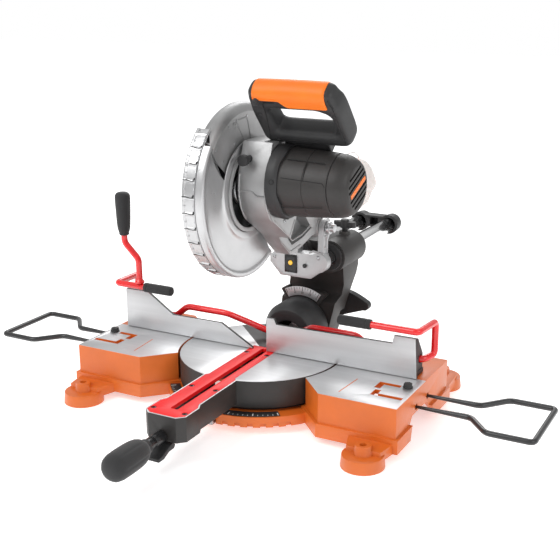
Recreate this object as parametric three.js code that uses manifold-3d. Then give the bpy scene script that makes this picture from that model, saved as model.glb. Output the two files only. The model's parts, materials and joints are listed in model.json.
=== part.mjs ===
// Sliding compound mitre saw: cast base with four feet, turntable, tilting arm, two slide rails and saw
// head. Millimetres, +X right, +Y to the back, +Z up. Every sub-part is laid out around the turntable pivot
// at floor level; the last lines move the whole saw so that its origin is the centre of its box at the floor.

import * as THREE from 'three';
import { mergeVertices } from 'three/addons/utils/BufferGeometryUtils.js';
import Module from 'manifold-3d';

const wasm = await Module();
wasm.setup();

// ---------- driving dimensions ----------
const TABLE_Z = 66; // working surface, also the height of the bevel axis
const GAP = 0.35; // clearance between pieces that touch
const WING_OUT = 236; // half width of the base
const WING_FRONT = -96;
const TURNTABLE_R = 110;
const DRUM_BOTTOM = 30;
const ARC_R = 126; // detent arc
const ARC_TOP = 24;
const ARM_FRONT = -238; // front end of the turntable arm
const FOOT_R = 27;
const FOOT_X = 207;
const FOOT_Y = [-126, 150];
const FENCE_T = 5;

const RAIL_X = [-6, 44];
const RAIL_Z = 174;
const RAIL_R = 11;
const RAIL_Y = [92, 352];
const HOUSING_Y = [122, 196]; // rail housing at the top of the tilting arm

const PIVOT = [100, 222]; // head hinge, (y, z), axis along X
const ARBOR = [-51, 300]; // blade axis (y, z), head raised
const MOTOR = [-47, 315]; // motor axis (y, z)
const BLADE_R = 105;
const KERF = 2.4;
const BORE_R = 12.7;
const UPPER_GUARD_R = 108.2;
const LOWER_GUARD_R = 111.2;
const LOWER_GUARD_ARC = [-121, 50]; // degrees above the forward direction
const UPPER_GUARD_ARC = [28, 186];
const CASE_X = [18, 58]; // gear case
const MOTOR_X = [58.4, 158];
const DUST_Z = 300; // dust outlet of the upper guard

const BAR_Z = 43; // extension bars
const BAR_Y = [-29, 10.5];
const LEFT_BAR_SHIFT = -15; // the left bar is pulled out further than the right one
const BAR_R = 3.75;
const FRAME_R = 4.5; // hold-down frame rod
const FRAME_AXIS = [22, 86]; // its hinge (y, z)
const GRIP_Z = 40; // mitre lock grip axis

const ORIGIN = new THREE.Vector3(-7.5, 9, 0); // centre of the box at the floor, from the turntable pivot

// ---------- materials ----------
const finish = (color, roughness, metalness = 0) =>
  new THREE.MeshStandardMaterial({ color, roughness, metalness });
const ORANGE = finish(0xe8652a, 0.45);
const RED = finish(0xe0262c, 0.4);
const RED_PLATE = finish(0xff4040, 0.55);
const BLACK = finish(0x2b2b2c, 0.55);
const CHARCOAL = finish(0x3a3938, 0.6);
const RUBBER = finish(0x262627, 0.85);
const CAST = finish(0xb9bcc0, 0.4, 0.8);
const MACHINED = finish(0xc9cccf, 0.3, 0.9);
const CHROME = finish(0xe2e4e6, 0.12, 1);
const STEEL = finish(0xaeb1b5, 0.35, 0.95);
const GUARD = finish(0xd0d2d4, 0.35, 0.5);
const COPPER = finish(0xb87333, 0.35, 0.9);
const LENS = finish(0xe8c030, 0.15);
const BAG_CLOTH = finish(0xe6dcd6, 0.8);

// ---------- solids ----------
function solid(geometry) {
  const bare = new THREE.BufferGeometry();
  bare.setAttribute('position', geometry.getAttribute('position').clone());
  if (geometry.index) bare.setIndex(geometry.index.clone());
  const merged = mergeVertices(bare, 1e-4);
  const corners = new Float32Array(merged.getAttribute('position').array);
  const triangles = new Uint32Array(merged.index.array);
  if (signedVolume(corners, triangles) < 0) {
    for (let i = 0; i < triangles.length; i += 3) {
      [triangles[i], triangles[i + 1]] = [triangles[i + 1], triangles[i]];
    }
  }
  return new wasm.Manifold(new wasm.Mesh({ numProp: 3, vertProperties: corners, triVerts: triangles }));
}

// Six times the enclosed volume: negative when the faces point inwards, as a lathe's can.
function signedVolume(corners, triangles) {
  const [a, b, c] = [new THREE.Vector3(), new THREE.Vector3(), new THREE.Vector3()];
  let sum = 0;
  for (let i = 0; i < triangles.length; i += 3) {
    a.fromArray(corners, 3 * triangles[i]);
    b.fromArray(corners, 3 * triangles[i + 1]);
    c.fromArray(corners, 3 * triangles[i + 2]);
    sum += a.dot(b.cross(c));
  }
  return sum;
}

function geometryOf(manifold) {
  const mesh = manifold.getMesh();
  const geometry = new THREE.BufferGeometry();
  geometry.setAttribute('position', new THREE.BufferAttribute(mesh.vertProperties, 3));
  geometry.setIndex(new THREE.BufferAttribute(mesh.triVerts, 1));
  geometry.computeVertexNormals();
  return geometry;
}

const join = (first, ...rest) => rest.reduce((sum, piece) => sum.add(piece), first);
const cut = (first, ...rest) => rest.reduce((sum, piece) => sum.subtract(piece), first);

function part(parent, name, manifold, material) {
  const mesh = new THREE.Mesh(geometryOf(manifold), material);
  mesh.name = name;
  parent.add(mesh);
}

const rad = (degrees) => (degrees * Math.PI) / 180;

// Box between two corners.
function box(low, high) {
  const size = high.map((value, axis) => value - low[axis]);
  const geometry = new THREE.BoxGeometry(...size);
  geometry.translate(...low.map((value, axis) => value + size[axis] / 2));
  return solid(geometry);
}

// Facets round a circle: an even number that grows with the radius.
const sidesOf = (radius) => 2 * Math.round(Math.min(24, 4.5 + radius * 0.3));

// Cylinder or cone along an axis ('x', 'y' or 'z'), from a to b, centred at the other two coordinates.
function rod(axis, centre, radius, a, b, endRadius = radius, sides = sidesOf(radius)) {
  const geometry = new THREE.CylinderGeometry(endRadius, radius, b - a, sides);
  geometry.translate(0, (a + b) / 2, 0);
  if (axis === 'x') geometry.rotateZ(-Math.PI / 2).translate(0, centre[0], centre[1]);
  if (axis === 'y') geometry.translate(centre[0], 0, centre[1]);
  if (axis === 'z') geometry.rotateX(Math.PI / 2).translate(centre[0], centre[1], 0);
  return solid(geometry);
}

// Turned shape along X about (y, z): profile of [x, radius] pairs that starts and ends on the axis or closes.
function turned(centre, profile, sides = 40) {
  const points = profile.map(([x, radius]) => new THREE.Vector2(radius, x));
  const geometry = new THREE.LatheGeometry(points, sides);
  geometry.rotateZ(-Math.PI / 2).translate(0, centre[0], centre[1]);
  return solid(geometry);
}

function shapeOf(points, holes = []) {
  const drawn = () => new THREE.Shape(points.map((point) => new THREE.Vector2(...point)));
  const shape = points instanceof THREE.Shape ? points : drawn();
  shape.holes.push(...holes);
  return shape;
}

const extruded = (shape, depth, curveSegments) =>
  new THREE.ExtrudeGeometry(shape, { depth, bevelEnabled: false, curveSegments });

// Plate drawn in plan (x, y) between two heights.
function slab(points, z0, z1, curveSegments = 12) {
  return solid(extruded(shapeOf(points), z1 - z0, curveSegments).translate(0, 0, z0));
}

// Plate drawn from the side (y, z) between two values of x.
function sidePlate(points, x0, x1, curveSegments = 12) {
  const geometry = extruded(shapeOf(points), x1 - x0, curveSegments);
  geometry.applyMatrix4(new THREE.Matrix4().set(0, 0, 1, x0, 1, 0, 0, 0, 0, 1, 0, 0, 0, 0, 0, 1));
  return solid(geometry);
}

// Plate drawn from the front (x, z) between two values of y.
function frontPlate(points, y0, y1, curveSegments = 12) {
  const geometry = extruded(shapeOf(points), y1 - y0, curveSegments);
  geometry.applyMatrix4(new THREE.Matrix4().set(1, 0, 0, 0, 0, 0, -1, y1, 0, 1, 0, 0, 0, 0, 0, 1));
  return solid(geometry);
}

// Ring sector outline: angles in degrees from the first axis.
function sector(centre, inner, outer, from, to) {
  const shape = new THREE.Shape();
  shape.absarc(centre[0], centre[1], outer, rad(from), rad(to), false);
  if (inner > 0) shape.absarc(centre[0], centre[1], inner, rad(to), rad(from), true);
  else shape.lineTo(centre[0], centre[1]);
  return shape;
}

function circle(centre, radius) {
  const shape = new THREE.Shape();
  shape.absarc(centre[0], centre[1], radius, 0, 2 * Math.PI, false);
  return shape;
}

function roundedRect(x0, y0, x1, y1, radius) {
  const shape = new THREE.Shape();
  shape.absarc(x1 - radius, y0 + radius, radius, -Math.PI / 2, 0, false);
  shape.absarc(x1 - radius, y1 - radius, radius, 0, Math.PI / 2, false);
  shape.absarc(x0 + radius, y1 - radius, radius, Math.PI / 2, Math.PI, false);
  shape.absarc(x0 + radius, y0 + radius, radius, Math.PI, 1.5 * Math.PI, false);
  return shape;
}

// Route that is swept ring by ring through its own points, so a straight stretch needs only two.
class Route extends THREE.Curve {
  constructor(points) {
    super();
    this.points = points;
  }

  index(t) {
    return Math.round(t * (this.points.length - 1));
  }

  getPoint(t) {
    return this.points[this.index(t)].clone();
  }

  getPointAt(t) {
    return this.getPoint(t);
  }

  getTangentAt(t) {
    const i = this.index(t);
    const here = this.points[i];
    const ahead = (this.points[i + 1] ?? here).clone().sub(here).normalize();
    const behind = here.clone().sub(this.points[i - 1] ?? here).normalize();
    return ahead.add(behind).normalize();
  }
}

// Corner points with each inner corner rounded by a short curve.
function bentRoute(corners, bend, curveSteps = 3) {
  const points = corners.map((corner) => new THREE.Vector3(...corner));
  const route = [points[0]];
  for (let i = 1; i < points.length - 1; i += 1) {
    const enter = points[i].clone().lerp(points[i - 1], bend / points[i].distanceTo(points[i - 1]));
    const leave = points[i].clone().lerp(points[i + 1], bend / points[i].distanceTo(points[i + 1]));
    route.push(...new THREE.QuadraticBezierCurve3(enter, points[i], leave).getPoints(curveSteps));
  }
  route.push(points[points.length - 1]);
  return new Route(route);
}

// Section swept along a route, such as a bent bar or an open tube.
function swept(section, route) {
  const options = { extrudePath: route, steps: route.points.length - 1, curveSegments: 5 };
  return solid(new THREE.ExtrudeGeometry(section, options));
}

const bentBar = (corners, radius, bend) => swept(circle([0, 0], radius), bentRoute(corners, bend));

const mirrored = (points) => points.map(([x, ...rest]) => [-x, ...rest]);

// ---------- base ----------
// Plan of the right wing: diagonal front corner, round notch for the turntable, rear edge clear of the
// swinging arm.
const NOTCH_R = TURNTABLE_R + 3;
const WING_REAR = 84;
function wingPlan(grow) {
  const shape = new THREE.Shape();
  const notch = NOTCH_R - grow;
  const front = Math.asin(-58 / NOTCH_R) - grow / NOTCH_R;
  const rear = Math.asin(38 / NOTCH_R) + grow / NOTCH_R;
  shape.moveTo(notch * Math.cos(front), notch * Math.sin(front));
  shape.lineTo(133 - grow * 0.4, WING_FRONT - grow);
  shape.lineTo(WING_OUT + grow, WING_FRONT - grow);
  shape.lineTo(WING_OUT + grow, WING_REAR + grow);
  shape.lineTo(160 - grow * 0.4, WING_REAR + grow);
  shape.lineTo(notch * Math.cos(rear), notch * Math.sin(rear));
  shape.absarc(0, 0, notch, rear, front, true);
  return shape;
}

const SKIRT = [9, 27]; // wider flange around the foot of each wing
const SKIRT_GROW = 4;
const WALL = 5;

function foot(y) {
  const towards = y < 0 ? WING_FRONT : WING_REAR;
  const ear = [[FOOT_X - 22, y], [FOOT_X + 22, y], [FOOT_X + 27, towards], [FOOT_X - 32, towards]];
  const disc = rod('z', [FOOT_X, y], FOOT_R, 0, 15, FOOT_R - 1.5);
  const boss = rod('z', [FOOT_X, y], 12, 10, 27, 10);
  const hole = rod('z', [FOOT_X, y], 4.5, -1, 40);
  return cut(join(disc, slab(ear, 8, 21), boss), hole);
}

function wing() {
  const shell = join(slab(wingPlan(0), SKIRT[0], TABLE_Z), slab(wingPlan(SKIRT_GROW), ...SKIRT));
  const cavity = slab(wingPlan(-WALL), -1, TABLE_Z - 6);
  const guideX = 204;
  const guide = box([guideX, BAR_Y[0] - 8, 36], [guideX + 6, BAR_Y[1] + 8, TABLE_Z - 5]);
  const arch = sidePlate([[-58, 0], [-52, 24], [-42, 36], [6, 36], [34, 14], [44, 0]], 190, 260);
  const barHoles = BAR_Y.map((y) => rod('x', [y, BAR_Z], BAR_R + 0.45, 195, 260));
  const screwHole = rod('z', [SCREW_X, BAR_Y[0]], 3.4, 40, 80);
  const slots = [
    box([186, -33, 59], [215, -26, 70]),
    box([186, -46, 59], [194, -30, 70]),
    box([190, -69, 59], [231, -62, 70]),
    box([190, -64, 59], [198, -51, 70]),
  ];
  return cut(join(cut(shell, cavity), guide, ...FOOT_Y.map(foot)), arch, ...barHoles, screwHole, ...slots);
}

const DETENTS = [0, 7.5, 15, 22.5, 30, 37.5, 45];
const DETENT_ANGLES = [...DETENTS, ...DETENTS.slice(1).map((angle) => -angle)];
const SCREW_X = 224; // clamp screw of an extension bar

function baseCasting() {
  const right = wing();
  const left = right.mirror([1, 0, 0]);
  const ring = cut(rod('z', [0, 0], ARC_R, 10, ARC_TOP), rod('z', [0, 0], 86, 5, 30));
  const hub = rod('z', [0, 0], 24, 10, ARC_TOP);
  const spokes = [0, 60, 120].map((angle) => box([-92, -7, 12], [92, 7, 22]).rotate([0, 0, angle]));
  const notches = DETENT_ANGLES.map((angle) =>
    box([-3.5, -ARC_R - 1, 5], [3.5, -ARC_R + 3.5, 15.5]).rotate([0, 0, angle]));
  const bore = rod('z', [0, 0], 6.4, 0, 40);
  return cut(join(right, left, ring, hub, ...spokes), ...notches, bore);
}

function scalePlate(from, to) {
  return slab(sector([0, 0], TURNTABLE_R + 1, ARC_R - 1.5, from, to), ARC_TOP + GAP, ARC_TOP + 1.4, 10);
}

const FENCE_Z = TABLE_Z + 0.6;
const RIGHT_FENCE = [
  [8, FENCE_Z], [224, FENCE_Z], [221, 120], [192, 120], [190, 109], [23, 107], [20, 114.5], [8, 114],
];
const LEFT_FENCE = [
  [-223, FENCE_Z], [-14, FENCE_Z], [-14, 68], [-63, 95.5], [-143, 95], [-185, 123], [-223, 123],
];
const BRACKET_X = [122, 222];

// Ribbed bracket on the wing behind a fence: a foot, an upright, four gussets and a tall web at the outer
// end, with the bearing of the hold-down frame beside it.
function fenceBracket() {
  const [x0, x1] = BRACKET_X;
  const plate = box([x0, FENCE_T + GAP, FENCE_Z], [x1, 30, FENCE_Z + 6]);
  const upright = box([x0, FENCE_T + GAP, FENCE_Z], [x1, FENCE_T + 5, 92]);
  const gussets = [0, 1, 2, 3].map((i) => {
    const x = x0 + 4 + (i * (x1 - x0 - 12)) / 3;
    return sidePlate([[FENCE_T + 1, 70], [28, 70], [28, 73], [15, 88], [FENCE_T + 1, 90]], x, x + 4);
  });
  const endWeb = sidePlate(
    [[FENCE_T + GAP, 68], [30, 68], [30, 92], [12, 117], [FENCE_T + GAP, 119]],
    BRACKET_X[1] - 6, BRACKET_X[1] - 1.5);
  const bearing = sidePlate([[8, 70], [32, 70], [34, 90], [28, 98], [16, 98], [8, 90]], 206, 217);
  const bore = rod('x', FRAME_AXIS, FRAME_R + 0.45, 200, 225);
  const clear = rod('x', FRAME_AXIS, FRAME_R + 1.2, x0 - 5, x1 + 5);
  return join(cut(join(plate, upright, endWeb, ...gussets), clear), cut(bearing, bore));
}

// Wire loop that slides out of the end of a wing to carry long stock.
function extensionBar() {
  const [front, rear] = BAR_Y;
  const corners = [
    [186, front, BAR_Z], [306, front, BAR_Z], [334, front - 33, BAR_Z], [391, front - 33, BAR_Z],
    [391, rear + 33, BAR_Z], [334, rear + 33, BAR_Z], [306, rear, BAR_Z], [186, rear, BAR_Z],
  ];
  return bentBar(corners, BAR_R, 9);
}

// Hexagon-headed screw that clamps an extension bar from above.
function barScrew() {
  const centre = [SCREW_X, BAR_Y[0]];
  const shank = rod('z', centre, 3, BAR_Z + BAR_R + GAP, TABLE_Z + 2);
  const flange = rod('z', centre, 6.5, TABLE_Z + 0.5, TABLE_Z + 1.8);
  const head = rod('z', centre, 5.6, TABLE_Z + 1.5, TABLE_Z + 6, 5.6, 6);
  return join(shank, flange, head);
}

function base(parent) {
  part(parent, 'base_casting', baseCasting(), ORANGE);
  part(parent, 'mitre_scale', scalePlate(-144, -50), BLACK);
  part(parent, 'right_fence', frontPlate(RIGHT_FENCE, 0, FENCE_T), MACHINED);
  part(parent, 'left_fence', frontPlate(LEFT_FENCE, 0, FENCE_T), MACHINED);
  const bracket = fenceBracket();
  part(parent, 'right_fence_bracket', bracket, BLACK);
  part(parent, 'left_fence_bracket', bracket.mirror([1, 0, 0]), BLACK);
  const pivotBolt = join(rod('z', [0, 0], 6, 3, 47), rod('z', [0, 0], 11, 3, 9.6));
  part(parent, 'turntable_pivot_bolt', pivotBolt, STEEL);
  const bar = extensionBar();
  part(parent, 'right_extension_bar', bar, BLACK);
  part(parent, 'left_extension_bar', bar.mirror([1, 0, 0]).translate([LEFT_BAR_SHIFT, 0, 0]), BLACK);
  const screw = barScrew();
  part(parent, 'right_bar_screw', screw, BLACK);
  part(parent, 'left_bar_screw', screw.mirror([1, 0, 0]), BLACK);
}

// ---------- hold-down frame ----------
const CLAMP_Y = -12; // line of the two clamping bars in front of the fences
const CLAMP_Z = 134;
const CLAMP_END = { left: -180, right: 166 }; // where the rod enters its sleeve
const SLEEVE_R = 6.8;
const LEVER_X = -189;

function holdDown(parent) {
  const [axisY, axisZ] = FRAME_AXIS;
  const rightHalf = (end) => [
    [20, 52, 76], [42, 40, 88], [66, axisY, 103], [132, axisY, 103], [152, axisY, axisZ], [224, axisY, axisZ],
    [232, 42, axisZ + 2], [232, 42, CLAMP_Z - 2], [229, CLAMP_Y, CLAMP_Z], [end, CLAMP_Y, CLAMP_Z],
  ];
  const left = mirrored(rightHalf(-CLAMP_END.left - 40)).reverse();
  const right = rightHalf(CLAMP_END.right - 40);
  part(parent, 'hold_down_frame', bentBar([...left, ...right], FRAME_R, 6), RED);
  const lever = bentBar(
    [[LEVER_X, CLAMP_Y, CLAMP_Z + FRAME_R + GAP], [LEVER_X, CLAMP_Y, 174], [-212, CLAMP_Y, 196],
      [-212, CLAMP_Y, 262]], FRAME_R, 8);
  part(parent, 'hold_down_lever', lever, RED);
  const grip = cut(rod('z', [-212, CLAMP_Y], 7, 207, 268, 11), rod('z', [-212, CLAMP_Y], 5, 200, 262.4));
  part(parent, 'hold_down_grip', grip, RUBBER);
  const sleeve = (x0, x1, open) => cut(
    rod('x', [CLAMP_Y, CLAMP_Z], SLEEVE_R, x0, x1),
    rod('x', [CLAMP_Y, CLAMP_Z], FRAME_R + GAP, ...open, undefined, 16));
  const leftX = CLAMP_END.left;
  part(parent, 'left_clamp_sleeve', sleeve(leftX, leftX + 46, [leftX - 5, leftX + 40.4]), RUBBER);
  const rightX = CLAMP_END.right;
  part(parent, 'right_clamp_sleeve', sleeve(rightX - 46, rightX, [rightX - 40.4, rightX + 5]), RUBBER);
}

// ---------- turntable ----------
const PLATE = [TABLE_Z - 5, TABLE_Z]; // kerf plate thickness
const ARM_BOTTOM = 34;
const TRUNNION_X = 43;
const TRUNNION_Y = [78, 121.6];

// Plan of the arm or, inset, of the plate that covers it: wide front end, narrower towards the disc.
function armPlan(inset, rear) {
  const [wide, middle, narrow] = [28.5, 24, 21].map((half) => half - inset);
  const half = [
    [narrow, rear], [narrow, -102], [middle, -106], [middle, -192], [wide, -201], [wide, -229],
  ];
  const front = ARM_FRONT + inset;
  half.push([wide - 9, front]);
  return [...half, ...half.slice().reverse().map(([x, y]) => [-x, y])];
}

const PLATE_SCREWS = [[22, -222], [17.5, -146], [15.5, -12]].flatMap(([x, y]) => [[x, y], [-x, y]]);

function turntable() {
  const disc = rod('z', [0, 0], TURNTABLE_R, DRUM_BOTTOM, TABLE_Z);
  const hollow = rod('z', [0, 0], TURNTABLE_R - 4, DRUM_BOTTOM - 1, TABLE_Z - 6);
  const arm = slab(armPlan(0, -60), ARM_BOTTOM, TABLE_Z);
  const armHollow = slab(armPlan(4, -50), ARM_BOTTOM - 1, TABLE_Z - 9);
  const ribs = [-190, -160, -130].map((y) => box([-22, y, 46], [22, y + 4, TABLE_Z - 8]));
  const rest = cut(rod('z', [0, 0], 102, ARC_TOP + GAP, 61), rod('z', [0, 0], 98, 20, 70));
  const hub = rod('z', [0, 0], 20, ARC_TOP + GAP, 48);
  const floor = [0, 60, 120].map((angle) => box([-100, -4, 40], [100, 4, 48]).rotate([0, 0, angle]));
  const underSlot = box([-14, -222, 48], [14, 10, 80]);
  const bolt = rod('z', [0, 0], 6.4, 0, 62);
  const pocket = slab(armPlan(2 - GAP, 14 + GAP), PLATE[0] - GAP, 80);
  const trunnionSeat = box([-TRUNNION_X - GAP, TRUNNION_Y[0] - GAP, 20], [TRUNNION_X + GAP, 200, 80]);
  const screwHoles = PLATE_SCREWS.map(([x, y]) => rod('z', [x, y], 2, 52, 80));
  const lockBore = rod('y', [0, GRIP_Z], 5.4, -250, -190);
  const body = cut(join(disc, arm), hollow, armHollow);
  return cut(join(body, ...ribs, rest, hub, ...floor),
    underSlot, bolt, pocket, trunnionSeat, ...screwHoles, lockBore);
}

function kerfPlate() {
  const plate = slab(armPlan(2, 14), ...PLATE);
  const slot = slab(roundedRect(-2.6, -216, 7.6, 8, 2), PLATE[0] - 1, PLATE[1] + 1, 4);
  const holes = PLATE_SCREWS.flatMap(([x, y]) => [
    rod('z', [x, y], 2.2, 50, 80), rod('z', [x, y], 3.9, PLATE[1] - 2, 80)]);
  return cut(plate, slot, ...holes);
}

// Half-round housing of the bevel pivot, open to the front through an arch.
function trunnion() {
  const [y0, y1] = TRUNNION_Y;
  const half = new THREE.Shape();
  half.moveTo(-TRUNNION_X, 33);
  half.lineTo(TRUNNION_X, 33);
  half.lineTo(TRUNNION_X, TABLE_Z);
  half.absarc(0, TABLE_Z, TRUNNION_X, 0, Math.PI, false);
  const body = frontPlate(half, y0, y1, 20);
  const crown = rod('y', [0, TABLE_Z], TRUNNION_X - 9, y0 - 1, y0 + 16, TRUNNION_X + 3);
  const keep = join(crown, frontPlate([[-50, 20], [50, 20], [50, TABLE_Z], [-50, TABLE_Z]], y0, y0 + 16),
    box([-60, y0 + 16, 0], [60, y1 + 1, 140]));
  const arch = rod('y', [0, TABLE_Z - 4], 24, y0 - 5, y0 + 20, 20);
  const cavity = rod('y', [0, TABLE_Z], 30, y0 + 14, y1 - 9);
  const bore = rod('y', [0, TABLE_Z], 6.4, 60, 140);
  return cut(body.intersect(keep), arch, cavity, bore);
}

// Half section of the mitre lock grip, (radius, distance from its inner end).
const GRIP_PROFILE = [
  [0, 0], [9, 0], [10, 6], [10, 10], [15, 16], [17.2, 30], [17.2, 58], [15, 66], [9, 70], [0, 71],
];

function mitreControls(parent) {
  const gripStart = ARM_FRONT - 31;
  const profile = GRIP_PROFILE.map(([radius, along]) => new THREE.Vector2(radius, along));
  const grip = solid(new THREE.LatheGeometry(profile, 32).rotateX(Math.PI).translate(0, gripStart, GRIP_Z));
  const socket = rod('y', [0, GRIP_Z], 4.4, gripStart - 40, gripStart + 1);
  part(parent, 'mitre_lock_grip', cut(grip, socket), RUBBER);
  const lockRod = join(
    rod('y', [0, GRIP_Z], 4, gripStart - 39, -196),
    rod('y', [0, GRIP_Z], 7.5, gripStart + GAP, ARM_FRONT - 1));
  part(parent, 'mitre_lock_rod', lockRod, BLACK);
}

const DETENT_AXIS = [-232, 27]; // hinge of the thumb lever (y, z)
const DETENT_ROD_Z = [25, 29];

function detent(parent) {
  const [y, z] = DETENT_AXIS;
  const paddle = sidePlate(
    [[y, z + 4], [y - 10, z + 1], [y - 22, z - 4], [y - 30, z - 5], [y - 30, z - 9], [y - 20, z - 9],
      [y - 8, z - 4], [y, z - 4]], -11, 11);
  const knuckle = rod('x', [y, z], 4, -11, 11);
  part(parent, 'detent_lever', join(paddle, knuckle), BLACK);
  const bar = join(
    box([-3, y + 9, DETENT_ROD_Z[0]], [3, -ARC_R - 3, DETENT_ROD_Z[1]]),
    box([-3, -ARC_R - 7, 10.5], [3, -ARC_R - 3, DETENT_ROD_Z[1]]),
    box([-2.6, -ARC_R - 4, 10.5], [2.6, -ARC_R + 3, 14.5]));
  part(parent, 'detent_pin', bar, STEEL);
}

function turntableGroup(parent) {
  part(parent, 'turntable', turntable(), CHARCOAL);
  part(parent, 'kerf_plate', kerfPlate(), RED_PLATE);
  part(parent, 'bevel_trunnion', trunnion(), BLACK);
  mitreControls(parent);
  detent(parent);
}

// ---------- tilting arm ----------
const HUB_R = 40;
const SCALE_R = [45, 58];
const LEVER_Y = [180, 196];
const KNOB = { x: RAIL_X[1], y: 172 };

function bevelArm() {
  const [y0, y1] = HOUSING_Y;
  const hub = rod('y', [0, TABLE_Z], HUB_R, y0 + 0.4, 168);
  const fan = frontPlate(sector([0, TABLE_Z], 30, SCALE_R[1] + 3, 52, 124), y0 + 0.4, y0 + 12, 12);
  const front = frontPlate(
    [[-36, 60], [40, 60], [50, 100], [60, 150], [60, 168], [-26, 168], [-30, 140], [-36, 90]], y0 + 4, 186);
  const side = sidePlate([[126, 60], [168, 60], [172, 100], [184, 132], [y1 - 2, 156], [y1 - 2, 180],
    [128, 180], [134, 150], [146, 128], [146, 112], [126, 104]], -60, 80);
  const pocket = box([-24, 156, 74], [46, 220, 148]);
  const undercut = box([-22, 100, 118], [46, 138, 149]);
  const barrels = RAIL_X.map((x) => rod('y', [x, RAIL_Z], 23.5, y0, y1));
  const bridge = box([RAIL_X[0], y0 + 6, RAIL_Z - 22], [RAIL_X[1], y1 - 2, RAIL_Z + 19]);
  const boss = rod('z', [KNOB.x, KNOB.y], 9, RAIL_Z + 15, RAIL_Z + 27, 8);
  const bores = RAIL_X.map((x) => rod('y', [x, RAIL_Z], 15.35, 100, 220));
  const boltBore = rod('y', [0, TABLE_Z], 6.4, 100, 220);
  const knobBore = rod('z', [KNOB.x, KNOB.y], 4.4, RAIL_Z + 13, RAIL_Z + 40);
  const body = join(cut(front.intersect(side), pocket), hub, fan, ...barrels, bridge, boss);
  return cut(body, undercut, ...bores, boltBore, knobBore);
}

function slideKnob() {
  const stem = rod('z', [KNOB.x, KNOB.y], 4, RAIL_Z + RAIL_R + GAP, 214);
  const hub = rod('z', [KNOB.x, KNOB.y], 7, 206, 218, 6);
  const bar = slab(roundedRect(KNOB.x - 17, KNOB.y - 5, KNOB.x + 17, KNOB.y + 5, 4.5), 207, 215, 5);
  return join(stem, hub, bar);
}

function bevelLever() {
  const [y0, y1] = LEVER_Y;
  const hub = rod('y', [0, TABLE_Z], 13, y0 - 5, y1);
  const handle = new THREE.Shape();
  handle.moveTo(4, TABLE_Z - 11);
  handle.quadraticCurveTo(34, TABLE_Z + 2, 70, TABLE_Z + 14);
  handle.absarc(72, TABLE_Z + 21, 7, -1.2, 1.2, false);
  handle.quadraticCurveTo(56, TABLE_Z + 38, 44, TABLE_Z + 40);
  handle.quadraticCurveTo(20, TABLE_Z + 34, -4, TABLE_Z + 11);
  const bore = rod('y', [0, TABLE_Z], 6.35, 140, LEVER_Y[0] + 9);
  return cut(join(hub, frontPlate(handle, y0 + 2, y1 - 2, 6)), bore);
}

function bevelGroup(parent) {
  const [y0, y1] = HOUSING_Y;
  part(parent, 'bevel_arm', bevelArm(), BLACK);
  const scale = frontPlate(sector([0, TABLE_Z], ...SCALE_R, 58, 118), y0 - 1, y0 + 0.4 - GAP, 14);
  part(parent, 'bevel_scale', scale, MACHINED);
  const bolt = join(rod('y', [0, TABLE_Z], 6, 106, LEVER_Y[0] + 8.5), rod('y', [0, TABLE_Z], 11, 100, 107));
  part(parent, 'bevel_pivot_bolt', bolt, STEEL);
  part(parent, 'bevel_lock_lever', bevelLever(), BLACK);
  RAIL_X.forEach((x, i) => {
    const side = ['left', 'right'][i];
    const seal = cut(rod('y', [x, RAIL_Z], 19, y0 - 4, y0 - GAP, 20),
      rod('y', [x, RAIL_Z], RAIL_R + 0.5, 100, 140));
    part(parent, `${side}_rail_seal`, seal, RUBBER);
    const bushing = cut(rod('y', [x, RAIL_Z], 15, y0 + 4, y1 - 4),
      rod('y', [x, RAIL_Z], RAIL_R + GAP, 100, 220),
      rod('z', [x, KNOB.y], 5, RAIL_Z, RAIL_Z + 30));
    part(parent, `${side}_rail_bushing`, bushing, STEEL);
  });
  part(parent, 'slide_lock_knob', slideKnob(), BLACK);
}

// ---------- slide carriage ----------
const SOCKET_Y = [84, 102];
const CHEEK_X = [[5, 12], [43, 50]];
const BARREL_X = [12.5, 42.5];
const LASER = { x: [-7, 11], z: [156, 181], y: 83 };

function carriageBracket() {
  const outline = [
    [-31, 168], [-14, 150], [33, 150], [47, 161], [47, 178], [40, 185], [-22, 185], [-31, 178],
  ];
  const block = frontPlate(outline, SOCKET_Y[0], SOCKET_Y[0] + 12);
  const sockets = RAIL_X.map((x) => rod('y', [x, RAIL_Z], 14, SOCKET_Y[0], SOCKET_Y[0] + 13, 14, 32));
  const deck = box([-18, SOCKET_Y[0] + 2, 180], [52, SOCKET_Y[1], 185]);
  const cheek = ([x0, x1]) => {
    const shape = new THREE.Shape();
    shape.moveTo(SOCKET_Y[0] + 1, 182);
    shape.lineTo(SOCKET_Y[1], 182);
    shape.lineTo(SOCKET_Y[1], 202);
    shape.lineTo(PIVOT[0] + 13, PIVOT[1] - 7);
    shape.absarc(...PIVOT, 13, -0.3, Math.PI + 0.1, false);
    return sidePlate(shape, x0, x1, 10);
  };
  const bores = RAIL_X.map((x) => rod('y', [x, RAIL_Z], RAIL_R + GAP, RAIL_Y[0] - GAP, 120));
  const shaftBore = rod('x', PIVOT, 6.35, -10, 60);
  const window = box(
    [LASER.x[0] - GAP, 70, LASER.z[0] - GAP], [LASER.x[1] + GAP, LASER.y + 8, LASER.z[1] + GAP]);
  return cut(join(block, ...sockets, deck, ...CHEEK_X.map(cheek)), ...bores, shaftBore, window);
}

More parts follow.
